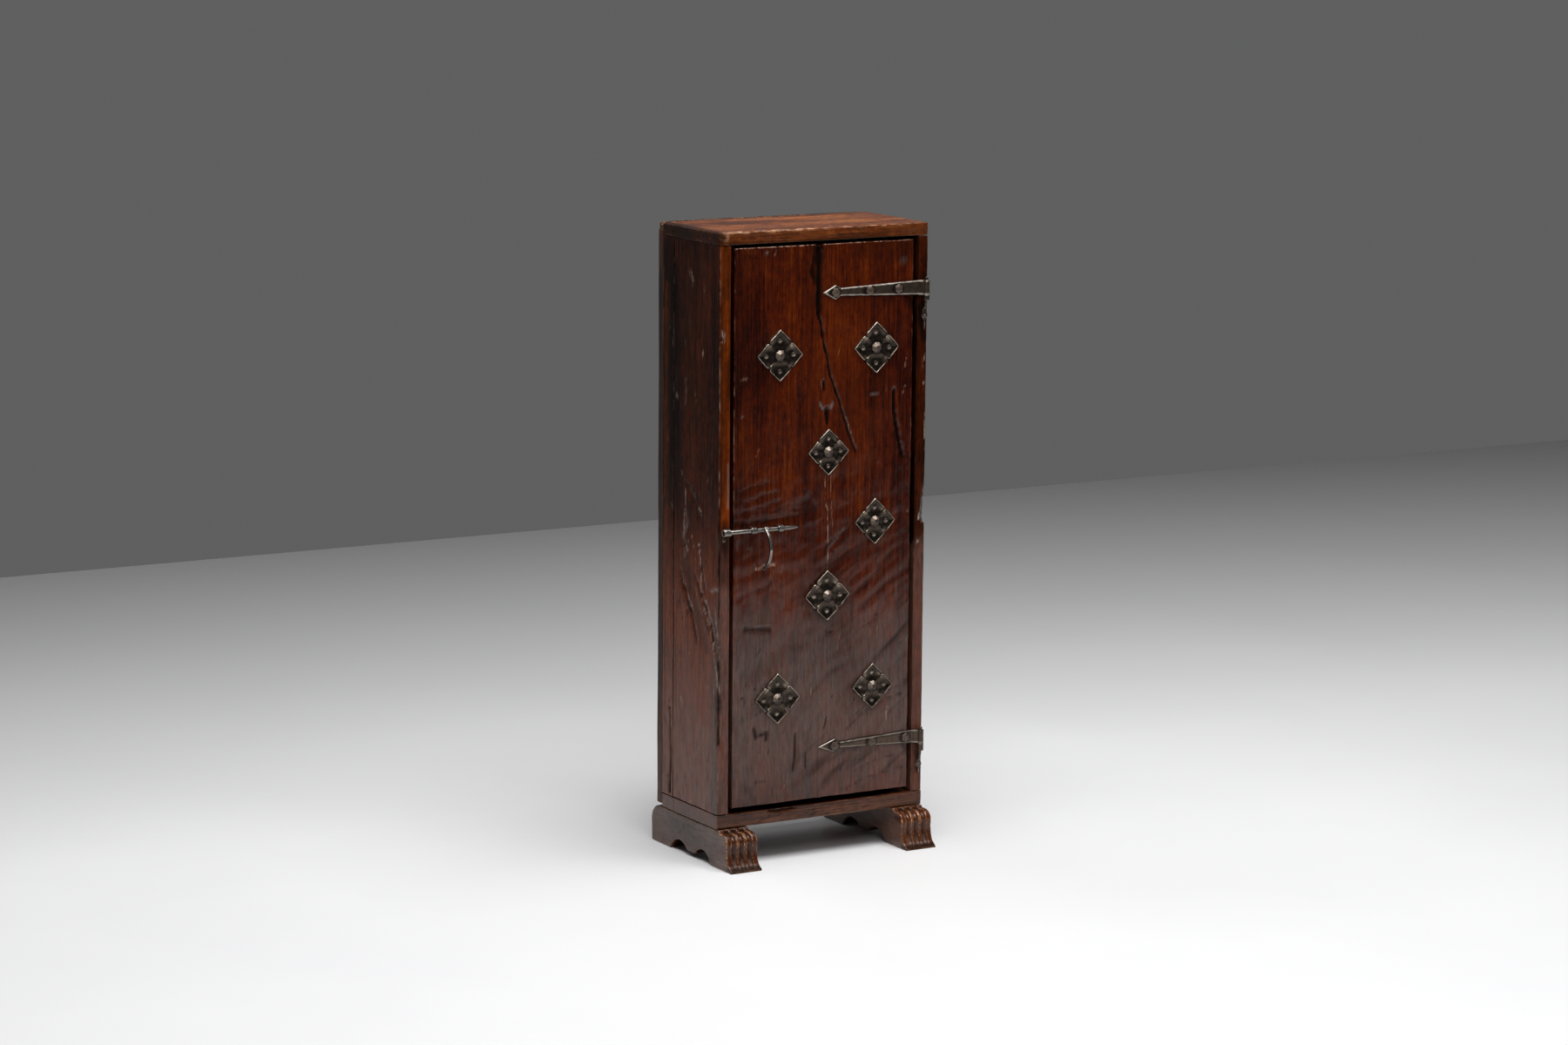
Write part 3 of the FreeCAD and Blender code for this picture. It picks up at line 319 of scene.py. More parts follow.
def board(node, material, grain, step, radius, special, marks, wave, seed, extra=((), (), ()),
          front_warm=0.0, low_grey=0.0, rippled=False, wear=1.0):
    """A worn plank in the place of a CAD board: rounded uneven edges, planed waves and its marks.

    step is the grid's across the grain. radius is for the edges that special doesn't name.
    """
    low, high = limits(node)
    steps = stretched(step, step * 1.6, grain)
    lines = [grid_lines(low[i], high[i], steps[i], extra[i]) for i in range(3)]
    points, quads = box_grid(lines)
    points, worn = ease(points, low, high, radius, special, seed)
    out = normals_of(points, quads)
    depth = wave * patchy(points + WAVES, stretched(42, 170, grain), seed)
    depth += 0.3 * wave * (0.5 + 0.5 * noise(points + WAVES, stretched(7, 55, grain), seed + 5))
    paint = {key: np.zeros(len(points)) for key in ("dark", "grey", "warm")}
    if rippled:
        deeper, paint["dark"] = planed_waves(points, seed)
        depth += deeper
    paint["worn"] = wear * worn * smooth(-0.5, 0.5, layered(points + WEAR, 16, seed + 9))
    z = points[:, 2]
    ahead, aside = smooth(-0.6, -0.9, out[:, 1]), smooth(-0.6, -0.9, out[:, 0])
    warm = front_warm * ahead * smooth(-0.8, 0.4, layered(points + WARMTH, (22, 22, 140), seed))
    red = smooth(620, 380, z + 60 * layered(points + REDNESS, (40, 40, 160), seed))
    dull = smooth(560, 60, z + 90 * layered(points + GREYNESS, (60, 60, 120), seed))
    paint["warm"] = np.maximum(warm * (0.55 + 0.45 * smooth(650, 450, z)), 2 * low_grey * aside * red)
    paint["grey"] = low_grey * aside * dull
    for number, mark in enumerate(marks):
        near, weight = mark.press(points, seed + 7 * number)
        depth[near] += mark.depth * weight
        for key, amount in mark.paint.items():
            if amount >= 0:
                paint[key][near] = np.maximum(paint[key][near], amount * weight)
            else:
                paint[key][near] *= 1 + amount * weight
    points = points - out * depth[:, None]
    return stand_for(write_mesh("worn_" + node, points, quads, paint, material), node)


def read(items, name, width, kind):
    """One vector of each of a mesh's items, as an array."""
    values = np.zeros(len(items) * width, kind)
    items.foreach_get(name, values)
    return values.reshape(-1, width)


def edge_wear(mesh):
    """Points, normals, and how far each point stands out from its neighbours, less than 0 in hollows."""
    points = read(mesh.vertices, "co", 3, np.float32).astype(float)
    normals = read(mesh.vertex_normals, "vector", 3, np.float32).astype(float)
    a, b = read(mesh.edges, "vertices", 2, np.int32).T
    count = len(points)
    step = points[b] - points[a]
    length = np.maximum(np.linalg.norm(step, axis=1), 1e-9)
    degree = np.maximum(np.bincount(a, minlength=count) + np.bincount(b, minlength=count), 1)
    rise = np.bincount(a, -(normals[a] * step).sum(1) / length, count)
    rise += np.bincount(b, (normals[b] * step).sum(1) / length, count)
    rise /= degree
    for _ in range(2):
        spread = np.bincount(a, rise[b], count)
        spread += np.bincount(b, rise[a], count)
        rise = 0.4 * rise + 0.6 * spread / degree
    return points * MM, normals, rise


ROSETTES = [node for node in NODES if node.startswith("rosette_") and node != "rosette_nails"]
STRAP_NAILS = [(x, 897.5) for x in (17.3, 79.4, 132.0)] + [(x, 175.0) for x in (23.3, 92.5, 155.2)]


def bevelled(points, normals, values, width, drop, shine):
    """Hammers a plate's front face down towards its outline, in a wide bevel that is rubbed bright."""
    side = np.flatnonzero((abs(normals[:, 1]) < 0.5) & (points[:, 1] > FRONT - 2.0))
    face = np.flatnonzero(normals[:, 1] < -0.3)
    tree = KDTree(len(side))
    for number, p in enumerate(points[side]):
        tree.insert((p[0], 0, p[2]), number)
    tree.balance()
    found = [tree.find((p[0], 0, p[2])) for p in points[face]]
    gap = np.array([one[2] for one in found])
    upper = np.array([one[0][2] for one in found]) > points[face, 2]
    slope = np.clip(1 - gap / width, 0, 1)
    points[face, 1] += drop * slope
    band = smooth(0.02, 0.3, slope)
    patch = smooth(-0.9, 0.1, layered(points[face] + BEVEL, 12, 5))
    values["worn"][face] = shine * band * np.where(upper, 0.8, 0.95) * (0.4 + 0.6 * patch)
    edge = 0.75 * smooth(-0.14, 0.0, slope - gap / width * 0.2) * (1 - smooth(0.0, 0.12, slope))
    values["dark"][face] = np.where(slope > 0, 0, edge)
    inside = smooth(1.3, 2.6, gap)
    for x, z in STRAP_NAILS:
        aside = points[face, 0] - x
        away = np.hypot(np.where(aside < 0, 0.7, 1.0) * aside, points[face, 2] - z)
        ring = inside * smooth(11.0, 8.0, away)
        values["dark"][face] = np.maximum(values["dark"][face], ring)
        values["worn"][face] *= 1 - ring
    values["warm"][face] = 0.55 * (1 - band)


def forged(node, material, voxel, dent, relax, ridge, seed, paint, pitch, bevel=None):
    """A CAD node's shape made again with a fine even mesh, its edges worn round and its faces dented.

    voxel is the mesh's step, dent the depth of the dents and pitch their size. relax is how often the mesh is
    smoothed, and ridge how far an edge has to stand out to be rubbed bare.
    """
    mesh = NODES[node].data.copy()
    mesh.materials.clear()
    made = add_object("worn_" + node, mesh)
    remesh = made.modifiers.new("even", "REMESH")
    remesh.mode = "VOXEL"
    remesh.voxel_size = voxel / MM
    relaxed = made.modifiers.new("relaxed", "SMOOTH")
    relaxed.factor = 0.5
    relaxed.iterations = relax
    graph = bpy.context.evaluated_depsgraph_get()
    even = bpy.data.meshes.new_from_object(made.evaluated_get(graph), depsgraph=graph)
    bpy.data.objects.remove(made)
    bpy.data.meshes.remove(mesh)
    points, normals, rise = edge_wear(even)
    shift = dent * patchy(points + DENTS, pitch, seed)
    patch = smooth(-0.6, 0.4, layered(points + RUBBED, 8, seed + 4))
    zeros = np.zeros(len(points))
    values = {"worn": smooth(0.25 * ridge, ridge, rise) * (0.45 + 0.55 * patch),
              "dark": smooth(0.2 * ridge, ridge, -rise), "grey": zeros, "warm": zeros.copy()}
    if bevel:
        bevelled(points, normals, values, *bevel)
    if paint:
        paint(points, normals, values)
    points = points - normals * shift[:, None]
    even.vertices.foreach_set("co", (points / MM).astype(np.float32).ravel())
    even.update()
    even.name = "worn_" + node
    even.materials.clear()
    even.materials.append(material)
    even.shade_smooth()
    add_paint(even, values)
    return stand_for(add_object("worn_" + node, even), node)


# Materials

class Shader:
    """A node material being put together."""

    def __init__(self, name):
        self.material = bpy.data.materials.new(name)
        self.material.use_nodes = True
        self.tree = self.material.node_tree
        self.surface = self.tree.nodes["Principled BSDF"]

    def put(self, kind, inputs=(), **settings):
        """One node, its settings, and its inputs: a socket is linked and anything else is a value."""
        node = self.tree.nodes.new("ShaderNode" + kind)
        for key, value in settings.items():
            setattr(node, key, value)
        for key, value in dict(inputs).items():
            self.feed(node.inputs[key], value)
        return node

    def feed(self, socket, value):
        if isinstance(value, bpy.types.NodeSocket):
            self.tree.links.new(value, socket)
        else:
            socket.default_value = value

    def place(self, scale):
        """Points in the row frame, stretched by a scale along each axis."""
        coordinates = self.put("TexCoord").outputs["Object"]
        return self.put("Mapping", {"Vector": coordinates, "Scale": scale}).outputs[0]

    def noise(self, scale, detail=4.0, roughness=0.6, distortion=0.0):
        made = self.put("TexNoise", {
            "Vector": self.place(scale), "Scale": 1.0, "Detail": detail,
            "Roughness": roughness, "Distortion": distortion})
        return made.outputs["Fac"]

    def between(self, value, low, high, to_low=0.0, to_high=1.0):
        """Maps a value from one span to another, and keeps it within."""
        made = self.put("MapRange", {
            "Value": value, "From Min": low, "From Max": high, "To Min": to_low, "To Max": to_high})
        return made.outputs[0]

    def maths(self, operation, a, b, clamp=False):
        return self.put("Math", {0: a, 1: b}, operation=operation, use_clamp=clamp).outputs[0]

    def times(self, a, b):
        return self.maths("MULTIPLY", a, b)

    def plus(self, a, b, clamp=False):
        return self.maths("ADD", a, b, clamp)

    def mix(self, share, under, over):
        """A share of the colour over on the socket under."""
        made = self.put("Mix", {0: share, 6: under, 7: (*over, 1)}, data_type="RGBA")
        return made.outputs[2]

    def ramp(self, value, *stops):
        made = self.put("ValToRGB", {"Fac": value})
        elements = made.color_ramp.elements
        elements[0].position, elements[0].color = stops[0][0], (*stops[0][1], 1)
        elements[1].position, elements[1].color = stops[-1][0], (*stops[-1][1], 1)
        for position, colour in stops[1:-1]:
            elements.new(position).color = (*colour, 1)
        return made.outputs["Color"]

    def painted(self, name):
        return self.put("Attribute", attribute_name=name).outputs["Fac"]

    def set(self, **inputs):
        for key, value in inputs.items():
            self.feed(self.surface.inputs[key.replace("_", " ")], value)

    def bump(self, height, distance):
        made = self.put("Bump", {"Height": height, "Distance": distance, "Strength": 1.0})
        self.feed(self.surface.inputs["Normal"], made.outputs[0])


# Near black of pores and dirt, also used for the painted shade in cracks and gouges
DIRT_AND_SHADE = (0.006, 0.003, 0.002)


def wood(name, grain, tones, gloss=(0.12, 0.2), coat=0.0, ior=1.41, bare_and_highlight=(0.32, 0.15, 0.075),
         dust_and_sheen=(0.15, 0.13, 0.12), warm=(0.118, 0.018, 0.0027), contrast=1.15):
    """Waxed old wood: soft bands, fibres, pores, dirt and painted shade in its hollows, rubbed edges and
    painted highlights, and dust and painted sheen.

    tones are four colours, from the darkest streaks to the lightest. gloss is the least and most roughness.
    """
    s = Shader(name)
    bands = s.noise(stretched(24, 2.2, grain), 3, 0.55, 0.3)
    lines = s.noise(stretched(260, 9, grain), 4, 0.7, 0.2)
    fibres = s.noise(stretched(420, 8, grain), 4, 0.7)
    clouds = s.noise(stretched(9, 6, grain), 5, 0.6)
    mottle = s.noise(stretched(120, 70, grain), 4, 0.7)
    tone = 0.5
    for field, share in ((bands, 0.26), (lines, 0.32), (mottle, 0.25), (fibres, 0.3), (clouds, 0.36)):
        tone = s.plus(tone, s.between(field, 0, 1, -share * contrast, share * contrast))
    colour = s.ramp(tone, *zip((0.26, 0.42, 0.56, 0.76), tones))
    pores = s.between(s.noise(stretched(640, 22, grain), 3, 0.6), 0.57, 0.64)
    colour = s.mix(s.times(pores, 0.6), colour, DIRT_AND_SHADE)
    speck = s.between(s.noise((330, 330, 330), 3, 0.7), 0.64, 0.72)
    # The painted dark gives dirt, and painted shade in the deep cracks and gouges
    dirt_and_shade = s.plus(s.times(s.painted("dark"), 1.35), s.times(speck, 0.5), clamp=True)
    # Rubbed edges, and painted highlights along the arrises and on the feet's reeds
    wear_and_highlight_share = s.times(s.painted("worn"), s.between(s.noise(stretched(230, 70, grain), 4, 0.7), 0.44, 0.57))
    glow = s.times(s.between(lines, 0.3, 0.62, 0.35, 1), s.between(mottle, 0.3, 0.6, 0.5, 1))
    colour = s.mix(s.times(s.painted("warm"), glow), colour, warm)
    colour = s.mix(wear_and_highlight_share, colour, bare_and_highlight)
    # Grey dust and scuffs, and a painted sheen of the floor over the door's lower part
    dust_and_sheen_spots = s.between(s.noise(stretched(260, 40, grain), 3, 0.6), 0.35, 0.6, 0.45, 1)
    colour = s.mix(s.times(s.painted("grey"), dust_and_sheen_spots), colour, dust_and_sheen)
    colour = s.mix(dirt_and_shade, colour, DIRT_AND_SHADE)
    rough = s.between(s.noise((14, 14, 14), 4, 0.65), 0.35, 0.65, *gloss)
    rough = s.plus(rough, s.times(s.painted("grey"), 0.25), clamp=True)
    # Reflections are also cut in the cracks and gouges, as painted shade
    shine = s.ramp(dirt_and_shade, (0.15, (1.0, 0.9, 0.83)), (0.85, (0.04, 0.035, 0.03)))
    s.set(Base_Color=colour, Roughness=rough, IOR=ior, Coat_Weight=coat, Coat_Roughness=0.15,
          Specular_Tint=shine)
    height = s.maths("SUBTRACT", s.times(fibres, 0.7), s.times(pores, 0.6))
    s.bump(s.plus(height, s.times(s.noise((85, 85, 60), 5, 0.65), 1.6)), 0.00015)
    return s.material


def iron(name, dull, bright, field, rust, gloss, metal=0.85, relief=0.00012):
    """Old wrought iron: oxide of the tones field, dull and rust, dark hollows and rubbed bright edges, and the
    painted highlights and painted shade that some pieces carry.
    """
    s = Shader(name)
    patches = s.noise((150, 150, 150), 5, 0.65)
    grit = s.noise((900, 900, 900), 3, 0.6)
    colour = s.ramp(patches, (0.34, field), (0.5, dull), (0.66, rust))
    colour = s.mix(s.between(grit, 0.35, 0.65, 0, 0.35), colour, field)
    spots = s.between(s.noise((330, 330, 330), 3, 0.6), 0.3, 0.55, 0.35, 1)
    # Rubbed edges, and painted highlights on the bosses, the nail heads and the upper faces of the bolt
    wear_and_highlight_share = s.times(s.painted("worn"), spots)
    colour = s.mix(wear_and_highlight_share, colour, bright)
    browned = s.times(s.painted("warm"), s.between(patches, 0.3, 0.6, 0.6, 1))
    colour = s.mix(browned, colour, (0.105, 0.07, 0.05))
    # Oxide in hollows, and painted shade under the bolt and nail heads and beside the staples
    colour = s.mix(s.times(s.painted("dark"), 0.8), colour, (0.012, 0.01, 0.009))
    rough = s.between(patches, 0.3, 0.7, *gloss)
    rough = s.maths("SUBTRACT", rough, s.times(wear_and_highlight_share, 0.12), clamp=True)
    s.set(Base_Color=colour, Roughness=rough, Metallic=metal, IOR=1.5)
    s.bump(s.plus(patches, s.times(grit, 0.35)), relief)
    return s.material


# Tones from the darkest streaks to the lightest
DOOR_TONES = ((0.009, 0.0011, 0.0004), (0.0269, 0.0029, 0.0007),
              (0.0582, 0.0067, 0.0009), (0.121, 0.0196, 0.0018))
# The sides are darker than the door partly in their own tone and partly as painted shade
SIDE_TONES_WITH_PAINTED_SHADE = ((0.003, 0.0008, 0.0004), (0.01, 0.0019, 0.0007),
              (0.024, 0.0042, 0.0012), (0.056, 0.011, 0.0026))
TOP_TONES = ((0.0319, 0.008, 0.0026), (0.1015, 0.0217, 0.0052),
             (0.2175, 0.0551, 0.0116), (0.3915, 0.1334, 0.0319))
BASE_TONES = ((0.0092, 0.003, 0.0018), (0.0299, 0.0083, 0.0039),
              (0.0644, 0.0178, 0.0069), (0.115, 0.0379, 0.0144))
FOOT_TONES = ((0.0072, 0.0022, 0.0014), (0.0216, 0.006, 0.0029),
              (0.0504, 0.0138, 0.0058), (0.096, 0.0288, 0.011))
INNER_TONES = ((0.045, 0.019, 0.009), (0.095, 0.044, 0.021),
               (0.145, 0.074, 0.036), (0.2, 0.11, 0.057))
BACK_TONES = ((0.006, 0.0022, 0.0012), (0.02, 0.0068, 0.0032),
              (0.046, 0.0155, 0.0068), (0.092, 0.035, 0.016))

door_wood = wood("door_wood", Z, DOOR_TONES, bare_and_highlight=(0.5, 0.32, 0.22), contrast=0.98)
# Side boards: darker tones and a low IOR that weakens their reflections, partly as painted shade
side_wood_with_painted_shade = wood("side_wood_with_painted_shade", Z, SIDE_TONES_WITH_PAINTED_SHADE, ior=1.22, bare_and_highlight=(0.6, 0.48, 0.4), dust_and_sheen=(0.24, 0.21, 0.2),
                 warm=(0.23, 0.042, 0.0045))
top_wood = wood("top_wood", X, TOP_TONES, bare_and_highlight=(0.5, 0.27, 0.15), gloss=(0.18, 0.3),
                warm=(0.095, 0.024, 0.0034))
base_wood = wood("base_wood", X, BASE_TONES, contrast=1.2)
foot_wood = wood("foot_wood", Y, FOOT_TONES, bare_and_highlight=(0.62, 0.29, 0.125), gloss=(0.17, 0.3), coat=0.1,
                 warm=(0.085, 0.021, 0.006), dust_and_sheen=(0.2, 0.145, 0.122))
back_wood = wood("back_wood", Z, BACK_TONES, gloss=(0.4, 0.6), contrast=1.3)
inner_wood = wood("inner_wood", X, INNER_TONES, gloss=(0.6, 0.8), contrast=1.5)
cleat_wood = wood("cleat_wood", Y, INNER_TONES, gloss=(0.6, 0.8))
strap_iron = iron("strap_iron", (0.075, 0.057, 0.043), (0.56, 0.49, 0.42), (0.036, 0.027, 0.021),
                  (0.105, 0.076, 0.055), (0.28, 0.44))
rosette_iron = iron("rosette_iron", (0.057, 0.041, 0.031), (0.54, 0.45, 0.35), (0.038, 0.027, 0.02),
                    (0.08, 0.056, 0.04), (0.2, 0.34))
nail_iron = iron("nail_iron", (0.1, 0.07, 0.054), (0.46, 0.38, 0.3), (0.055, 0.036, 0.027),
                 (0.15, 0.09, 0.062), (0.32, 0.46), metal=0.5)
bolt_iron = iron("bolt_iron", (0.17, 0.15, 0.135), (0.62, 0.57, 0.52), (0.1, 0.085, 0.075),
                 (0.18, 0.15, 0.13), (0.16, 0.26), metal=0.95, relief=0.00004)


# Marks seen on the boards, each board's in the order in which they are pressed into it

# On the door: the split and gouges are dark with dirt and painted shade, the line along the top arris is wear
# and painted highlight, and the broad grey over the lower part is a painted reflection of the floor
DOOR_MARKS = mark_table(front, """
-11 974, -11 938, -11.4 900, -11 866; 6.4 4.2; 6.5 0.8 0.3; dark 1, worn -1
-11 866, -5.9 844, -1.5 818; 4 2.4; 5 0.9 0.35; dark 1
-1.5 818, 6.5 790, 10.5 766, 18 749, 27 726, 37.2 696, 44 677, 50.8 661, 58.5 643; 2 2.6; 3 0.8 0.45; dark 1
-16 972, -20 953, -24 940, -21.5 926, -15 912; 4 7; 1.4 1 0.7; dark 0.95
-8 970, -6.5 955; 2.4; 0.8 0.9; dark 0.8
39.5 700, 46 682, 54 664; 1.6; -0.3 0.4; worn 0.5
-3.9 844, 0.1 814, 12.7 792, 22.8 765, 33 741; 1.2 0.8; 0.6 0.4; dark 0.6
0 810, 50 700, 70 640; 60 50; 0 0.5; warm 0.55
127 737, 127.6 712, 128.2 706, 131.8 682, 136.6 660, 140.2 643, 143 631; 2.4 4.6; 4 0.5 0.3; dark 1
133 735, 134.5 700, 140 664; 2.6; 0 0.4; warm 0.9
-2.2 759, -0.5 744; 3.6 2.6; 1.8 0.4; dark 0.95
-5 760, -4.2 750; 1.2; 0 0.3; worn 1
4.8 712, 5 692; 7 2.5; 1.8 0.4 0.6; dark 0.95
-7.5 723, -3 716, 4.9 711.5, 11 716, 15.9 722.5; 3; 0.7 0.4; grey 0.75
-104.6 964.6; 4.2; 0.25 0.3; grey 0.6
-142 962, -125 958; 6; 0.5 0.5; dark 0.55
-141 842, -139 832; 6; 0.5 0.6; dark 0.6
-148.5 770, -136 769.5; 0.9; 0 0.3; worn 0.7
-148.8 757; 4.5; 0.5 0.5; dark 0.8
-146 713; 4; 0.3 0.4; grey 0.8
-150 592, -127 598.7, -100 603; 4 5.5; 0.6 0.8; dark 0.35
-142 575, -115 583, -88 588; 4 5.5; 0.6 0.8; dark 0.35
-140 562, -110 567, -80 574; 4 5.5; 0.5 0.8; dark 0.35
-158 544, -110 546, -45 549; 7.5 4; 0.9 0.8; dark 0.65
-154 518, -153 503; 3; 0.2 0.6; grey 0.45
-160 973.5, -60 974, 158 974; 1.5; 0 0.5 0.6; worn 1
-136 505, -128 502; 3.5; 0.2 0.5; grey 0.35
-123 472, -104 473.6, -87 474.8; 2.6 2.2; 0.35 0.4; worn 0.75
1.8 655, 3.9 566, 8.8 555, 9.4 504, 9.4 459; 0.9; 0.15 0.3; worn 0.75
12.8 640, 14.5 566, 18.4 526; 0.8; 0.1 0.3; worn 0.5
-140 377, -118 375, -94 373; 4.6; 1.8 0.3; dark 0.55
-140 381.5, -118 379.5, -95 377.5; 2; 0 0.2; grey 0.4
-122 216, -119 203; 4.5; 0.9 0.7; dark 0.9
-110 205, -99 208, -101 197; 4; 0.8 0.7; dark 0.85
-47.5 200, -47 176, -50.5 143; 2.6 3.4; 1.6 0.35; dark 0.7, grey 0.3
-49 212, -50.5 190; 1.8; 0 0.4; warm 0.5
-28.4 168, -28.1 144; 2.6; 0.9 0.4; dark 0.65
-17.8 279, -19 260; 0.8; 0.1 0.3; worn 0.9
8 361, 14 360, 19 357; 3.2; 1.1 0.7; dark 0.7
12 364; 2.2; 0 0.6; worn 0.9
142 941; 8; 0.1 0.5; grey 0.35
85 733, 99 734; 2; 0.2 0.5; grey 0.5
98.9 627.6, 118 598.6; 0.9; 0.1 0.3; worn 0.5
132 543, 161 542; 0.9; 0.15 0.3; worn 0.5
121.3 228, 120.2 204; 0.7; 0.1 0.3; worn 0.9
116 214, 126 214; 0.6; 0.1 0.3; worn 0.7
150 885, 161 868; 9 12; 0 0.5; dark 0.75
151 163, 161 150; 5 9; 0 0.5; dark 0.5
161 975, 161 905; 2.6; 0 0.3; dark 0.35
28 331, 74 362, 100 372; 2.2; 0.5 0.5; dark 0.35
5 498, 30 512, 48 524; 2.4; 0.5 0.4; dark 0.45
10 492, 38 520; 2.6; 0.3 0.4; grey 0.35
45 198, 73.7 220.6, 105 237.6, 151.5 248; 1.8; 0.45 0.4; dark 0.45
52 212, 80 233, 112 251, 152 262; 1.6; 0.4 0.4; dark 0.4
-21 260, 7 285, 35.4 302.5, 52.4 313.4; 2; 0.4 0.5; dark 0.35
49 101.7, 75 114, 118 122, 153 126; 1.8; 0.45 0.4; dark 0.45
60 128, 100 143, 154 150; 1.8; 0.4 0.4; dark 0.35
-130 300, -60 340; 18 26; 0.6 0.5; dark 0.22
-150 250, 150 230; 190; 0 0.4 0.8; grey 0.43
-5 930, 5 800, 10 640; 50 55; 0 0.5 0.8; warm 0.38
90 900, 95 700; 30 34; 0 0.5 0.8; warm 0.15
-100 430, 100 400; 90 110; 0 0.6 0.8; warm 0.4
-110 220, 110 200; 110; 0 0.6 0.8; warm 0.55
-150 960, -152 640, -140 480; 26 30; 0 0.5 0.8; dark 0.25
20 430, 60 250; 50 40; 0 0.8 0.8; dark 0.25
60 965, 150 960; 22 26; 0 0.5 0.8; dark 0.35
-120 545, -30 560; 16 22; 0.8 0.5 0.8; dark 0.3
-20 415, 25 395, 60 300; 18 10; 0 0.5; dark 0.3
""")
LEFT_BOARD_MARKS = mark_table(left, """
5 930, -10 700, -5 480; 52 60; 0 0.6 0.8; warm 0.16
52 930, 50 560; 9 12; 0 0.6 0.8; dark 0.45
-66 960, -70 620; 12 10; 0 0.6 0.8; dark 0.4
14 450, -12 400, -40 350; 24 20; 0.8 0.6 0.8; dark 0.3
-18.6 505, -24.5 486, -27.6 456, -28.5 434, -33.6 411; 1 1.6; -0.1 0.6 0.5; worn 0.6
-33.6 411, -47.9 390, -59.3 367, -67.9 348, -73.7 328, -79.5 308, -79.8 288; 2.4 2; 0.4 1 0.5; worn 0.85
40.5 447, 23.2 425, 5.9 397, -8.5 378, -22.9 354; 1.6 1.3; 0.3 1 0.5; grey 0.5
-8 439, -16.7 415, -16.8 401; 1.8; 0.6 1; grey 0.7
21.7 589, 24.3 557, 30 523, 31.5 508, 15.2 490; 0.9 2.4; 0.4 0.7 0.6; worn 0.7
4 520, -4 500, -10 480; 0.9; 0.3 0.6; worn 0.4
12 932, 8 924, 2 917; 2; 1.2 0.5; worn 1
4.5 909; 2.6; 1.4 0.4; worn 0.8, dark 0.4
-31.7 811, -31.8 803; 1.2; 0.6 0.3; worn 0.9
53.5 732, 50 727; 3.4; 1.2 0.6; worn 0.7, dark 0.5
25 760, 22 738, 26 722; 2.8; 0.9 0.6; worn 0.35, dark 0.6
21.5 600, 12 592, 1.9 584, -6 577; 1.6 2.8; 1.6 0.8; dark 0.7, worn 0.3
-8 574, -14 562, -20 545; 3 2; 1.2 0.8; dark 0.6
21.2 560, 21 530; 2; 0.8 0.9; worn 0.45
19 532, 25 516, 31 500; 5.5 3; 1.4 0.9; grey 0.45, dark 0.3
34 512, 24 488, 30 474; 5 7; 1.6 0.9; dark 0.55, worn 0.35
-26 578, -26.8 545, -26.5 510; 0.8 1.2; 0.6 0.4; worn 0.5
-24.8 506, -28 485, -31.6 463; 3.6 2.6; 2.2 0.8; dark 0.7
-33 462, -38 447, -42.6 435; 2.2 3.2; 1.8 0.8; dark 0.5, worn 0.4
42 456, 33 438, 26.6 425; 3 6.5; 2.8 0.7; dark 0.55
26 428, 17 410, 8.9 396; 4 7.5; 3.2 0.7; dark 0.65
8 398, -1 382, -9 366, -15 348; 6 3; 2.6 0.7; dark 0.55
34 425, 20 402, 7 381; 1.2 1.8; -0.2 0.9; grey 0.5
-10 452, -20 438, -27.7 426; 2.6 5; 2.2 0.8; dark 0.6
-30 428, -43 404, -56 382; 4 8; 3.4 0.7; dark 0.6
-54 388, -64 368, -74 344; 7 5; 3.2 0.8; dark 0.75, worn 0.3
-20 415, -30 395, -42 370; 1.4 2; -0.1 0.9; grey 0.6
-44 420, -58 396, -72 372; 1.6 1.8; 0.3 1; worn 1
-57.6 437, -72 441, -84 445; 3; 0.6 0.8; grey 0.85
42 590; 3.5; 0 0.3; warm 0.35
21.2 559, 21.1 547; 0.8; 0 0.3; worn 1.6
22.4 534, 28.5 514; 1.6 1; 0.3 0.9; worn 1.2
-21.5 564, -29.2 552; 0.6; 0 0.3; worn 1.2
-22 505, -25.5 492, -29.9 479; 1.2 0.8; 0.3 0.5; worn 1.6
40.5 448, 17.5 422, 2.2 405, -13.3 383; 0.8; 0.2 0.5; worn 0.9
-40.3 417, -48 404, -53.3 382; 1 1.6; 0.3 0.6; worn 1.8
-60 440, -80 442; 1.2; 0.2 0.7; worn 0.7
-67 358, -74 340; 1.2; 0.2 0.6; worn 1.4
""")
# The dark patch from z 508 to 545 is a painted shadow around the bolt's keeper
LEFT_ARRIS_MARKS = mark_table(front, """
-178 430, -178 60; 22 40; 0 0.4 0.6; grey 0.26, warm -0.85
-178 978, -176 900; 10 6; 0 0.6 0.7; dark 0.45
-177 528, -177 455; 16; 0 0.5 0.5; warm -1, grey 0.1
-177 545, -177 508; 11; 0 0.6 0.7; dark 0.5
-184 890, -183 560; 3.2; 0 0.9 0.8; dark 0.45
-171 640, -171 570; 1.2 2; 0.3 0.8; grey 0.5
-181.8 843, -183 833; 5.5; 2.2 0.5; worn 0.7, dark 0.3
-184 836; 2.6; 1.6 0.4; dark 0.95
-186 -70 412, -187 -78 385, -187 -84 350, -187 331; 3 5; 2.4 0.8; worn 0.8, dark 0.4
-187 -84 326, -186 -84 300; 4.5; 2.6 0.8; dark 1
-186 -84 294, -187 262; 2.6; 1.2 0.8; dark 0.7
-187 -84 252, -186 -84 232; 4; 2 0.9; warm 0.8, worn 0.4
-187 -84 228, -187 -84 199; 4.2; 2.2 0.8; dark 1
-187 570, -187 400; 2.8; 1 1 0.7; dark 0.95
-187 -84 335, -187 -84 225; 4.5; 2.6 1 0.7; dark 1
-186 345, -186 240; 1.6; 0 1 0.5; worn 0.8
""")
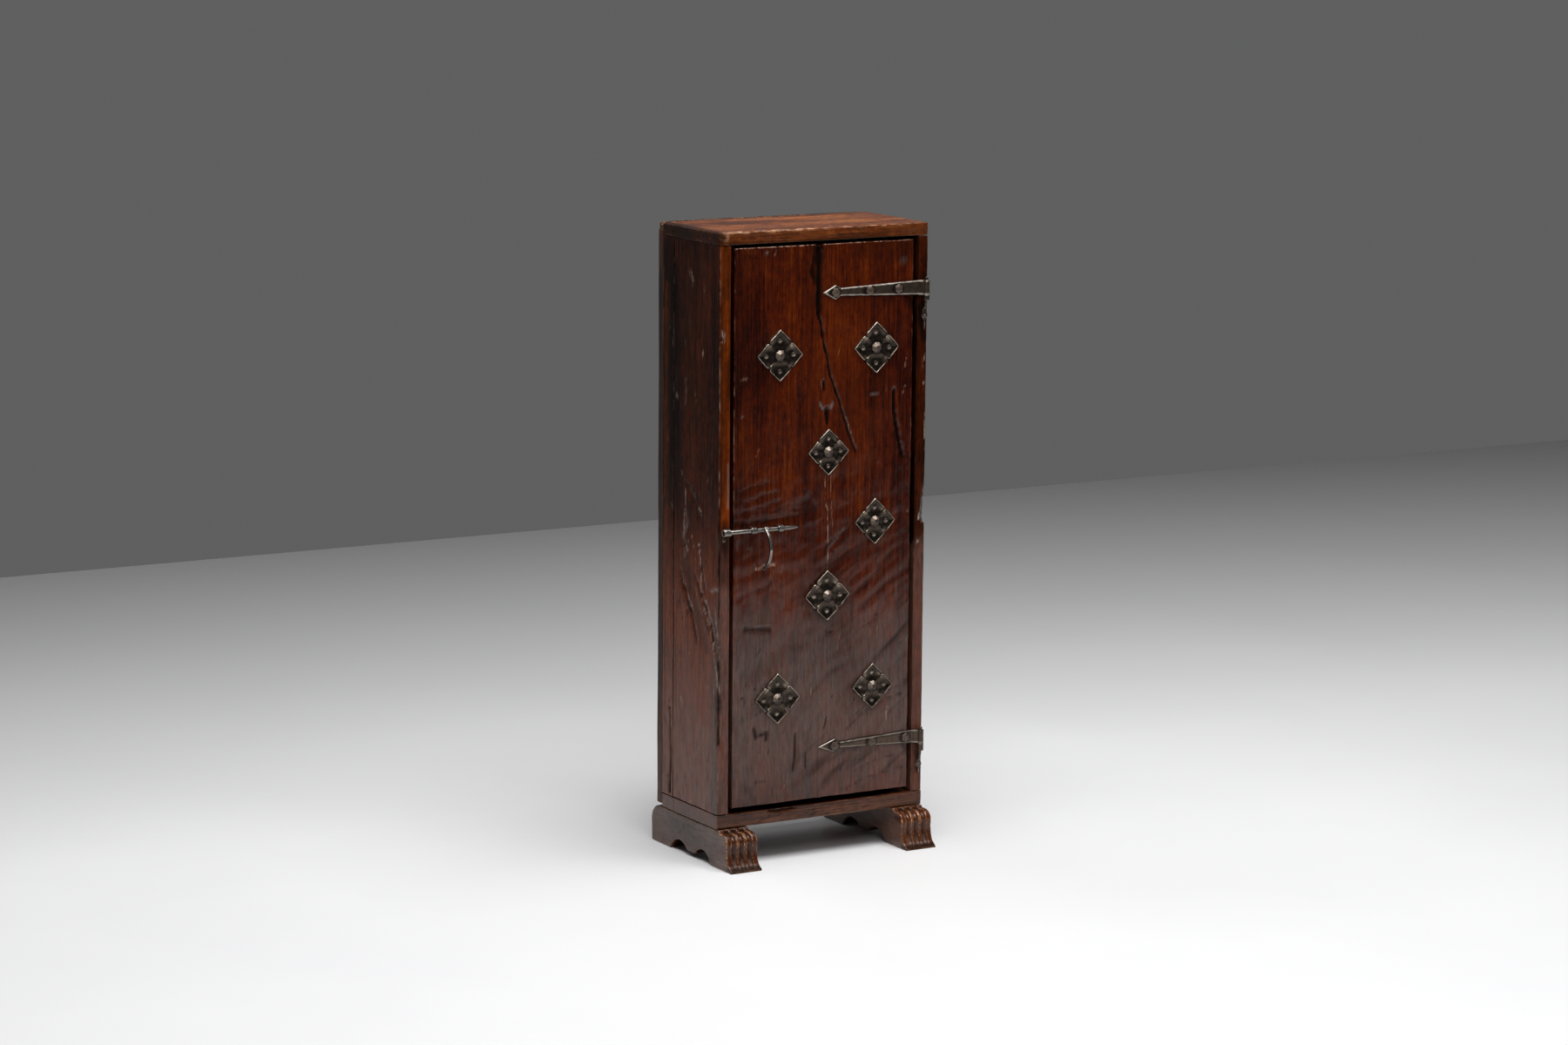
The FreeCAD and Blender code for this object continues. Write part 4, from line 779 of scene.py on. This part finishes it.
RIGHT_ARRIS_MARKS = mark_table(front, """
168 880, 168 480; 3; 0.3 0.6; dark 0.6
184 790, 180 770; 1.2; 0.3 0.5; worn 0.8
172 747, 184 745; 0.9; 0.1 0.4; worn 0.5
185 700, 185 655; 1.2; 0.4 0.9; worn 0.7
178 470, 178 60; 30 50; 0 0.4 0.6; grey 0.18, warm 0.5
189 600, 188 575, 187.5 552; 2.5 7; 4.6 0.35; worn 0.35
188 556, 187 530; 8 10; 8.5 0.25; worn 0.5, dark 0.2
182 548, 176.5 528; 2.6; 1 0.4; worn 1
174 492, 177 489; 2.4; 0.5 0.5; worn 0.7
186 640, 185 631; 2; 0.6 0.5; worn 0.8
171 868, 176 840, 182 815; 8 7; 0 0.5; dark 0.85
168 978, 168 880; 3.2; 0.6 0.4; dark 0.8
176 150, 180 118; 5; 0 0.6; dark 0.5
""")
LEFT_STRIP_MARKS = mark_table(left, """
76 975, 80 560; 14 10; 0 0.6 0.8; dark 0.45
85 900, 86 300; 9 12; 0 0.6 0.8; warm 0.5
73.6 226; 4; 3 0.4; dark 1
70 222, 70.5 198, 68.6 149, 71 112; 1.8 4; 2.6 0.25; dark 0.9
71 112, 72.6 92; 4 6; 3.2 0.2; dark 0.85
86 700, 88 300, 90 120; 1.2; 0.4 0.6; dark 0.5
""")
BASE_MARKS = mark_table(front, """
-95 83, -70 81, -48 83; 3 3.6; 2.2 0.3; dark 0.7
-140 66, -110 64; 1.4; 0.4 0.4; dark 0.4
""")


def scars(count, place, low, high, slope, seed):
    """Small chance scratches, nicks and pits within a rectangle of a board's face."""
    chance = np.random.default_rng(seed)
    made = []
    for number in range(count):
        a, b = chance.uniform(low[0], high[0]), chance.uniform(low[1], high[1])
        length = chance.uniform(4, 26) if number % 3 else chance.uniform(1, 3)
        turn = slope + chance.normal(0, 0.35)
        path = place((a, b), (a + length * math.cos(turn), b + length * math.sin(turn)))
        width = chance.uniform(0.8, 1.5)
        if number % 3 == 1:
            width, depth, paint = 0.8 * width, 0.15, {"worn": chance.uniform(0.15, 0.45)}
        elif number % 3 == 2:
            width, depth, paint = width + 0.5, 0.35, {"dark": chance.uniform(0.3, 0.7)}
        else:
            width, depth, paint = width + 0.8, 0.6, {"dark": chance.uniform(0.4, 0.9)}
        made.append(Mark(path, (width, width), depth, 0.6, **paint))
    return made


def ripples(points, turn, along, across, seed):
    """Long shallow waves from the plane and the knife, all in about one direction, from 0 to 1."""
    c, s = math.cos(turn), math.sin(turn)
    x, z = points[:, 0], points[:, 2]
    q = np.column_stack([(x * c + z * s) / along, (z * c - x * s) / across, np.zeros(len(points))])
    q[:, 1] += 0.7 * layered(points, 90, seed + 1)
    return patchy(q, 1, seed, 2)


DOOR_MARKS += scars(60, front, (-155, 105), (155, 965), 1.45, 1)
DOOR_MARKS += scars(24, front, (-150, 110), (150, 600), 0.5, 2)
LEFT_BOARD_MARKS += scars(40, left, (-80, 110), (58, 960), 1.5, 5)
LEFT_BOARD_MARKS += scars(26, left, (-70, 330), (45, 600), 1.05, 6)
LEFT_STRIP_MARKS += scars(12, left, (64, 110), (94, 960), 1.5, 7)
BASE_MARKS += scars(14, front, (-180, 62), (180, 82), 0.1, 8)


# The bright bands along the top's front arris are wear and painted highlight
TOP_FRONT_MARKS = mark_table(front, """
-188 -78 990, -188 64 990; 15; 0 0.25 0.35; dark 0.7, worn -0.8
-186 -84 992, -176 992; 9; 0 0.6; worn 0.75
-186 -84 999, -20 -84 999; 3.4; 0 0.6 0.6; worn 1
-20 -84 999, 150 -84 999; 2.6; 0 1 0.6; worn 0.8
-170 981, 150 980; 3; 0 0.8; dark 0.55
""")
TOP_REAR_MARKS = mark_table(left, """
66 990, 97 990; 15; 0 0.25 0.35; dark 0.75, worn -0.8
64.6 996, 64.6 983; 1.6; 0 0.3; worn 0.9
""")


def broken(x_start, x_end, depth, width=9.0, worn=0.6):
    """A low or chipped stretch of a back plank's top edge."""
    return Mark([(x_start, 106, 1001), (x_end, 108, 1001)], (width, width), depth, 0.5, 0.5, worn=worn)


BROKEN_TOPS = {
    "left": ((-184, -120, 3.6), (-112, -84, 2.0, 6), (-186, -186, 4.0, 14)),
    "middle": ((-58, -20, 3.0), (-8, 30, 1.6, 7), (40, 58, 2.8, 6, 0.9)),
    "right": ((66, 78, 2.0, 6, 0.9), (168, 186, 4.5, 12)),
}


def make_boards():
    """Every board of the carcass and the door."""
    # The split and its branch need a finer grid across the door
    split = (tuple(np.arange(-20, 64, 1.3)), (), ())
    door = {"y-z+": 2.4, "x+y-": 2.2, "x-y-": 2.0}
    board("door_panel", door_wood, Z, 2.6, 1.6, door, DOOR_MARKS, 1.2, 11, split, rippled=True)
    board("left_side_board", side_wood_with_painted_shade, Z, 3.0, 1.4, {"x-y-": 3.6, "x+y-": 1.4},
          LEFT_BOARD_MARKS + LEFT_ARRIS_MARKS, 1.4, 12, front_warm=1.9, low_grey=0.36, wear=0.28)
    board("left_side_rear_strip", side_wood_with_painted_shade, Z, 3.0, 1.3, {}, LEFT_STRIP_MARKS, 0.8, 13,
          low_grey=0.36, wear=0.25)
    board("right_side_board", side_wood_with_painted_shade, Z, 3.0, 1.4, {"x+y-": 3.4}, RIGHT_ARRIS_MARKS, 1.2, 14,
          front_warm=0.35, wear=0.35)
    board("right_side_rear_strip", side_wood_with_painted_shade, Z, 3.0, 1.3, {}, (), 0.8, 15, wear=0.2)
    top = {"y-z+": 3.2, "x-z+": 5.5, "x+z+": 4.5, "x-y-": 8.0, "x+y-": 5.0, "y-z-": 1.2}
    board("top_board_front", top_wood, X, 3.0, 1.2, top, TOP_FRONT_MARKS, 0.6, 16, front_warm=1.5, wear=0.5)
    rear = {"x-z+": 6.0, "x+z+": 5.0}
    board("top_board_rear", top_wood, X, 3.0, 1.4, rear, TOP_REAR_MARKS, 1.0, 17, wear=0.5)
    base = {"x-y-": 2.6, "x+y-": 3.0, "y-z-": 2.6, "y-z+": 1.2}
    board("base_board_front", base_wood, X, 3.0, 1.2, base, BASE_MARKS, 0.7, 18, low_grey=0.25)
    board("base_board_rear", base_wood, X, 3.0, 1.4, {}, (), 0.7, 19, low_grey=0.25)
    plank = {"y+z-": 9.0, "x-y+": 2.2, "x+y+": 2.2}
    for number, (side, rows) in enumerate(BROKEN_TOPS.items()):
        marks = [broken(*row) for row in rows]
        board("back_plank_" + side, back_wood, Z, 4.5, 1.5, plank, marks, 1.4, 20 + number)
    for number, name in enumerate(("shelf_lower", "shelf_upper")):
        board(name, inner_wood, X, 5.0, 1.0, {"y-z+": 2.0, "y-z-": 2.0}, (), 0.6, 30 + number)


def foot_paint(points, normals, values):
    """Dust in the scallops at the toe, warm reeds rubbed bare with a painted highlight strongest on the
    knuckle, and dull grey sides.
    """
    carved = smooth(-84, -92, points[:, 1])
    toe = smooth(-108, -122, points[:, 1]) * smooth(26, 14, points[:, 2]) * smooth(5, 9, points[:, 2])
    values["grey"] = 0.9 * toe * smooth(0.0, 0.5, values["dark"])
    values["dark"] *= 1 - 0.9 * toe
    # Painted highlight on the reeds, strongest on the knuckle, over their rubbed edges
    knuckle = smooth(26, 44, points[:, 2])
    values["worn"] *= (0.25 + 0.95 * carved) * (0.7 + 0.4 * knuckle)
    values["warm"] = 0.8 * carved * (1 - 0.5 * values["dark"])
    values["dark"] *= 0.3 + 0.45 * carved
    band = smooth(-112, -118, points[:, 1]) * smooth(8.5, 6.0, points[:, 2])
    values["dark"] = np.maximum(values["dark"], 0.55 * band)
    patch = smooth(-0.9, 0.5, layered(points + FOOT_SIDES, (30, 50, 18), 9))
    side = smooth(0.7, 0.9, abs(normals[:, 0])) * patch
    values["grey"] = np.maximum(values["grey"], 0.45 * side)


# Half of a lobe's outline at a half width of 1, from its tip to the notch
LOBE = ((1.0, 0.0), (0.93, 0.082), (0.84, 0.18), (0.75, 0.278), (0.67, 0.362), (0.625, 0.415),
        (0.58, 0.455), (0.53, 0.468), (0.48, 0.452), (0.435, 0.42), (0.395, 0.395))
# The outline's sizes in the plate's rings of faces, the first one on the wood
ROSETTE_SHARES = (
    1.0, 1.0, 0.995, 0.985, 0.972, 0.958, 0.944, 0.93, 0.915, 0.895, 0.87, 0.84, 0.81, 0.78, 0.75,
    0.72, 0.69, 0.66, 0.63, 0.6, 0.57, 0.54, 0.5, 0.46, 0.42, 0.38, 0.33, 0.27, 0.2, 0.12)
BOSS_PLACE = 0.6
RIM_HEIGHT = 3.3


def rosette_outline(seed):
    """The four-lobed outline at a half width of 1: pointed lobes with curled shoulders, a little uneven."""
    half = [np.array(p) for p in LOBE]
    lobe = half + [p[::-1] for p in reversed(half[1:-1])]
    full = []
    for quarter in range(4):
        turn = quarter * math.pi / 2
        c, s = math.cos(turn), math.sin(turn)
        full += [np.array([p[0] * c - p[1] * s, p[0] * s + p[1] * c]) for p in lobe]
    dense = []
    for a, b in zip(full, full[1:] + full[:1]):
        count = max(2, round(np.linalg.norm(b - a) / 0.032))
        dense += [a + (b - a) * i / count for i in range(count)]
    dense = np.array(dense)
    uneven = np.column_stack([dense * 40, np.zeros(len(dense))])
    dense *= (1 - 0.022 * patchy(uneven, 17, seed))[:, None]
    return dense / abs(dense).max()


def rosette(node, seed):
    """A chased iron plate: thin raised rim, four dished lobes with a boss each, and ridges between them."""
    low, high = limits(node)
    middle, half = (low + high) / 2, (high[0] - low[0]) / 2
    outline = rosette_outline(seed)
    count = len(outline)
    flat = np.concatenate([outline * share for share in ROSETTE_SHARES])
    share = np.repeat(ROSETTE_SHARES, count)
    reach = np.hypot(flat[:, 0], flat[:, 1])
    angle = np.arctan2(flat[:, 1], flat[:, 0])
    between = np.abs(np.sin(2 * angle)) ** 6
    gap = np.full(len(flat), 9.0)
    for quarter in range(4):
        turn = quarter * math.pi / 2
        wander = 0.03 * math.sin(seed * 3.7 + quarter * 2.3)
        boss = np.array([math.cos(turn + wander), math.sin(turn + wander)]) * (BOSS_PLACE + 0.6 * wander)
        gap = np.minimum(gap, np.linalg.norm(flat - boss, axis=1))
    height = 0.35 + 1.5 * smooth(0.44, 0.22, reach)
    height += 1.7 * smooth(0.6, 0.95, share) ** 1.6
    height += 1.3 * between * smooth(0.2, 0.4, reach)
    boss_rise = np.clip(1 - (gap / 0.105) ** 2, 0, 1)
    height += 1.8 * boss_rise
    rim = smooth(0.945, 0.972, share)
    height = height * (1 - rim) + RIM_HEIGHT * rim
    height -= 0.9 * smooth(0.985, 1.0, share)
    sheet = np.column_stack([flat * half, share * 0])
    height -= 0.3 * patchy(sheet + CHASED, 9, seed)
    height[:count] = 0.0
    lip = smooth(0.955, 0.968, share)
    patch = smooth(-0.7, 0.3, layered(sheet + LIP, 7, seed + 1))
    # Rubbed lip and ridges, and a painted highlight on each boss
    worn = np.maximum(lip * (0.3 + 0.55 * patch), 0.6 * boss_rise * (0.5 + 0.5 * patch))
    worn = np.maximum(worn, 0.5 * between * smooth(0.5, 0.6, reach) * patch)
    dark = 0.75 * smooth(0.958, 0.935, share) * smooth(0.84, 0.93, share)
    dark = np.maximum(dark, 0.65 * smooth(0.1, 0.13, gap) * smooth(0.34, 0.17, gap))
    dark = np.maximum(dark, 0.75 * smooth(0.36, 0.27, reach)) * (1 - boss_rise)
    placed = np.stack([middle[0] + flat[:, 0] * half, FRONT - height, middle[2] + flat[:, 1] * half], -1)
    last = len(flat) - count
    faces = []
    for ring in range(0, last, count):
        for i in range(count):
            j = (i + 1) % count
            faces.append((ring + i, ring + count + i, ring + count + j, ring + j))
    faces.append(tuple(last + i for i in reversed(range(count))))
    faces.append(tuple(range(count)))
    zeros = np.zeros(len(placed))
    paint = {"worn": worn, "dark": dark, "grey": zeros, "warm": zeros}
    return stand_for(write_mesh("chased_" + node, placed, faces, paint, rosette_iron), node)


def strap_nail_paint(points, normals, values):
    """Heads spread around their nails by the hammer, less worn and less dirty than other iron."""
    for x, z in STRAP_NAILS:
        near = (np.hypot(points[:, 0] - x, points[:, 2] - z) < 7.0) & (points[:, 1] < FRONT - 1.6)
        points[near, 0] = x + (points[near, 0] - x) * 1.4
        points[near, 2] = z + (points[near, 2] - z) * 1.4
    values["worn"] *= 0.8
    values["dark"] *= 0.5


def rosette_nail_paint(points, normals, values):
    """Faceted heads, rubbed on their edges, with painted highlight on their upper facets and painted shade on
    their lower ones.
    """
    # Facets turned up and to the left get painted highlight, and facets turned down get painted shade
    light_facing = 0.8 * normals[:, 2] - 0.5 * normals[:, 0]
    facet = np.sin(3 * np.arctan2(normals[:, 2], normals[:, 0]) + 0.09 * points[:, 2])
    values["worn"] = np.clip(0.7 * values["worn"] + 0.3 * smooth(0.1, 0.5, light_facing), 0, 1)
    values["dark"] = np.maximum(values["dark"], 0.8 * smooth(0.1, -0.3, light_facing + 0.3 * np.round(facet)))


def rod_paint(points, normals, values):
    """Bright along the upper front as painted highlight, dark below as painted shade, and dark beside the
    staples as painted shadow.
    """
    painted_top_light(points, normals, values)
    # Painted shadow on the rod on both sides of each staple
    for node in ("bolt_staple_left", "bolt_staple_right"):
        low, high = limits(node)
        beside = np.maximum(low[0] - points[:, 0], points[:, 0] - high[0])
        values["dark"] = np.maximum(values["dark"], 0.9 * smooth(1.9, 1.1, beside))
        values["worn"] *= smooth(1.1, 1.9, beside)


def painted_top_light(points, normals, values):
    """Edges rubbed bright, painted highlight on the iron's upper and front faces, and painted shade on its
    undersides.
    """
    light_facing = 0.85 * normals[:, 2] - 0.5 * normals[:, 1]
    values["worn"] = np.maximum(0.8 * values["worn"], smooth(0.2, 0.75, light_facing))
    values["dark"] = np.maximum(values["dark"], 0.7 * smooth(-0.15, -0.6, light_facing))


# Nodes, and then for the function forged: material, voxel, dent, relax, ridge, first seed, paint, pitch, bevel
FORGED = (
    ("rosette_nails", nail_iron, 0.32, 0.7, 0, 0.08, 70, rosette_nail_paint, 5.0),
    ("strap_nails", nail_iron, 0.4, 0.2, 1, 0.2, 71, strap_nail_paint, 4.0),
    ("pintle_nails keeper_nail", nail_iron, 0.4, 0.15, 2, 0.2, 72, None, 3.0),
    ("back_nails", nail_iron, 0.6, 0.2, 2, 0.2, 74, None, 4.0),
    ("upper_hinge_strap", strap_iron, 0.6, 0.3, 2, 0.16, 75, None, 10.0, (3.4, 1.5, 0.62)),
    ("lower_hinge_strap", strap_iron, 0.6, 0.3, 2, 0.16, 76, None, 10.0, (3.4, 1.5, 0.4)),
    ("upper_pintle lower_pintle", strap_iron, 0.5, 0.2, 2, 0.2, 77, None, 6.0),
    ("bolt_rod", bolt_iron, 0.4, 0.05, 1, 0.16, 79, rod_paint, 14.0),
    ("bolt_handle bolt_keeper bolt_staple_left bolt_staple_right", bolt_iron, 0.4, 0.12, 1, 0.18, 80,
     painted_top_light, 5.0),
)


def repaint():
    """Kept CAD nodes get the materials of their kind."""
    for node, made in (("shelf_cleats", cleat_wood), ("cleat_nails", nail_iron),
                       ("carcass_pegs", inner_wood), ("foot_pegs", inner_wood)):
        NODES[node].data.materials.clear()
        NODES[node].data.materials.append(made)


# Floor, light and camera

def make_stage():
    """A light floor with painted shade that darkens it to the back, and a grey wall that is lightest straight
    behind.
    """
    floor = Shader("floor_paint")
    spots = floor.noise((1.5, 1.5, 1.5), 3, 0.5)
    paint = floor.ramp(spots, (0.3, (0.81, 0.81, 0.82)), (0.7, (0.85, 0.85, 0.85)))
    back = floor.put("SeparateXYZ", {"Vector": floor.put("TexCoord").outputs["Object"]}).outputs["Y"]
    # Painted shade: the floor turns darker towards the back
    paint = floor.mix(floor.between(back, 0.4, 2.8), paint, (0.35, 0.35, 0.35))
    floor.set(Base_Color=paint, Roughness=0.4)
    corners = np.array([(-7000, -2250, 0), (9000, -2250, 0), (9000, 2800, 0), (-7000, 2800, 0)], float)
    plane = write_mesh("floor", corners, [(0, 1, 2, 3)], {}, floor.material, flat=True)
    world = bpy.data.worlds.new("room")
    bpy.context.scene.world = world
    world.use_nodes = True
    nodes, links = world.node_tree.nodes, world.node_tree.links
    facing = nodes.new("ShaderNodeSeparateXYZ")
    links.new(nodes.new("ShaderNodeTexCoord").outputs["Generated"], facing.inputs["Vector"])
    wall = nodes.new("ShaderNodeValToRGB")
    wall.color_ramp.elements[0].position, wall.color_ramp.elements[0].color = 0.35, (0.05, 0.05, 0.051, 1)
    wall.color_ramp.elements[1].position, wall.color_ramp.elements[1].color = 0.75, (0.116, 0.116, 0.117, 1)
    links.new(facing.outputs["Y"], wall.inputs["Fac"])
    links.new(wall.outputs["Color"], nodes["Background"].inputs["Color"])


def make_light(name, place, aim, width, height, power):
    """An area lamp of that many watts at a place, turned to its aim."""
    data = bpy.data.lights.new(name, "AREA")
    data.shape = "RECTANGLE"
    data.size, data.size_y = width, height
    data.energy = power
    lamp = add_object(name, data)
    place, aim = np.array(place, float), np.array(aim, float)
    back = (place - aim) / np.linalg.norm(place - aim)
    side = np.cross((0, 0, 1), back)
    side /= np.linalg.norm(side)
    over = np.cross(back, side)
    lamp.matrix_world = Matrix((
        (side[0], over[0], back[0], place[0]), (side[1], over[1], back[1], place[1]),
        (side[2], over[2], back[2], place[2]), (0, 0, 0, 1)))


# The photo's pinhole camera: yaw, pitch and roll in degrees, lens and film in mm, place in metres
CAMERA_TURNS = (30.033, 9.769, 0.463)
LENS, FILM = 99.23, 36.0
CAMERA_PLACE = (-3.3952, -5.8346, 1.6844)


def make_camera():
    yaw, pitch, roll = map(math.radians, CAMERA_TURNS)
    right = np.array([math.cos(yaw), -math.sin(yaw), 0])
    ahead = np.array([math.sin(yaw), math.cos(yaw), 0])
    up = np.array([0, 0, 1.0])
    look = ahead * math.cos(pitch) - up * math.sin(pitch)
    rise = up * math.cos(pitch) + ahead * math.sin(pitch)
    x = right * math.cos(roll) + rise * math.sin(roll)
    y = rise * math.cos(roll) - right * math.sin(roll)
    data = bpy.data.cameras.new("camera")
    data.lens = LENS
    data.sensor_width = FILM
    data.sensor_fit = "HORIZONTAL"
    camera = add_object("camera", data)
    rows = [[x[i], y[i], -look[i], CAMERA_PLACE[i]] for i in range(3)]
    camera.matrix_world = Matrix(rows + [[0, 0, 0, 1]])
    bpy.context.scene.camera = camera


make_boards()
for number, node in enumerate(("left_foot", "right_foot")):
    forged(node, foot_wood, 1.3, 0.5, 4, 0.13, 41 + number, foot_paint, 16.0)
for number, node in enumerate(ROSETTES):
    rosette(node, 60 + number)
for names, material, voxel, dent, relax, ridge, seed, *rest in FORGED:
    for number, node in enumerate(names.split()):
        forged(node, material, voxel, dent, relax, ridge, seed + number, *rest)
repaint()
make_stage()
make_light("key", (0.05, -1.1, 3.9), (0.05, -0.9, 0.0), 3.2, 2.6, 212)
make_light("front", (-1.2, -3.6, 3.7), (-0.2, -1.4, 0.0), 2.4, 2.0, 32)
make_light("back", (-1.5, 2.4, 3.6), (0, 0.4, 0.3), 2.4, 2.4, 28)
make_camera()
bpy.context.scene.view_settings.view_transform = "Standard"
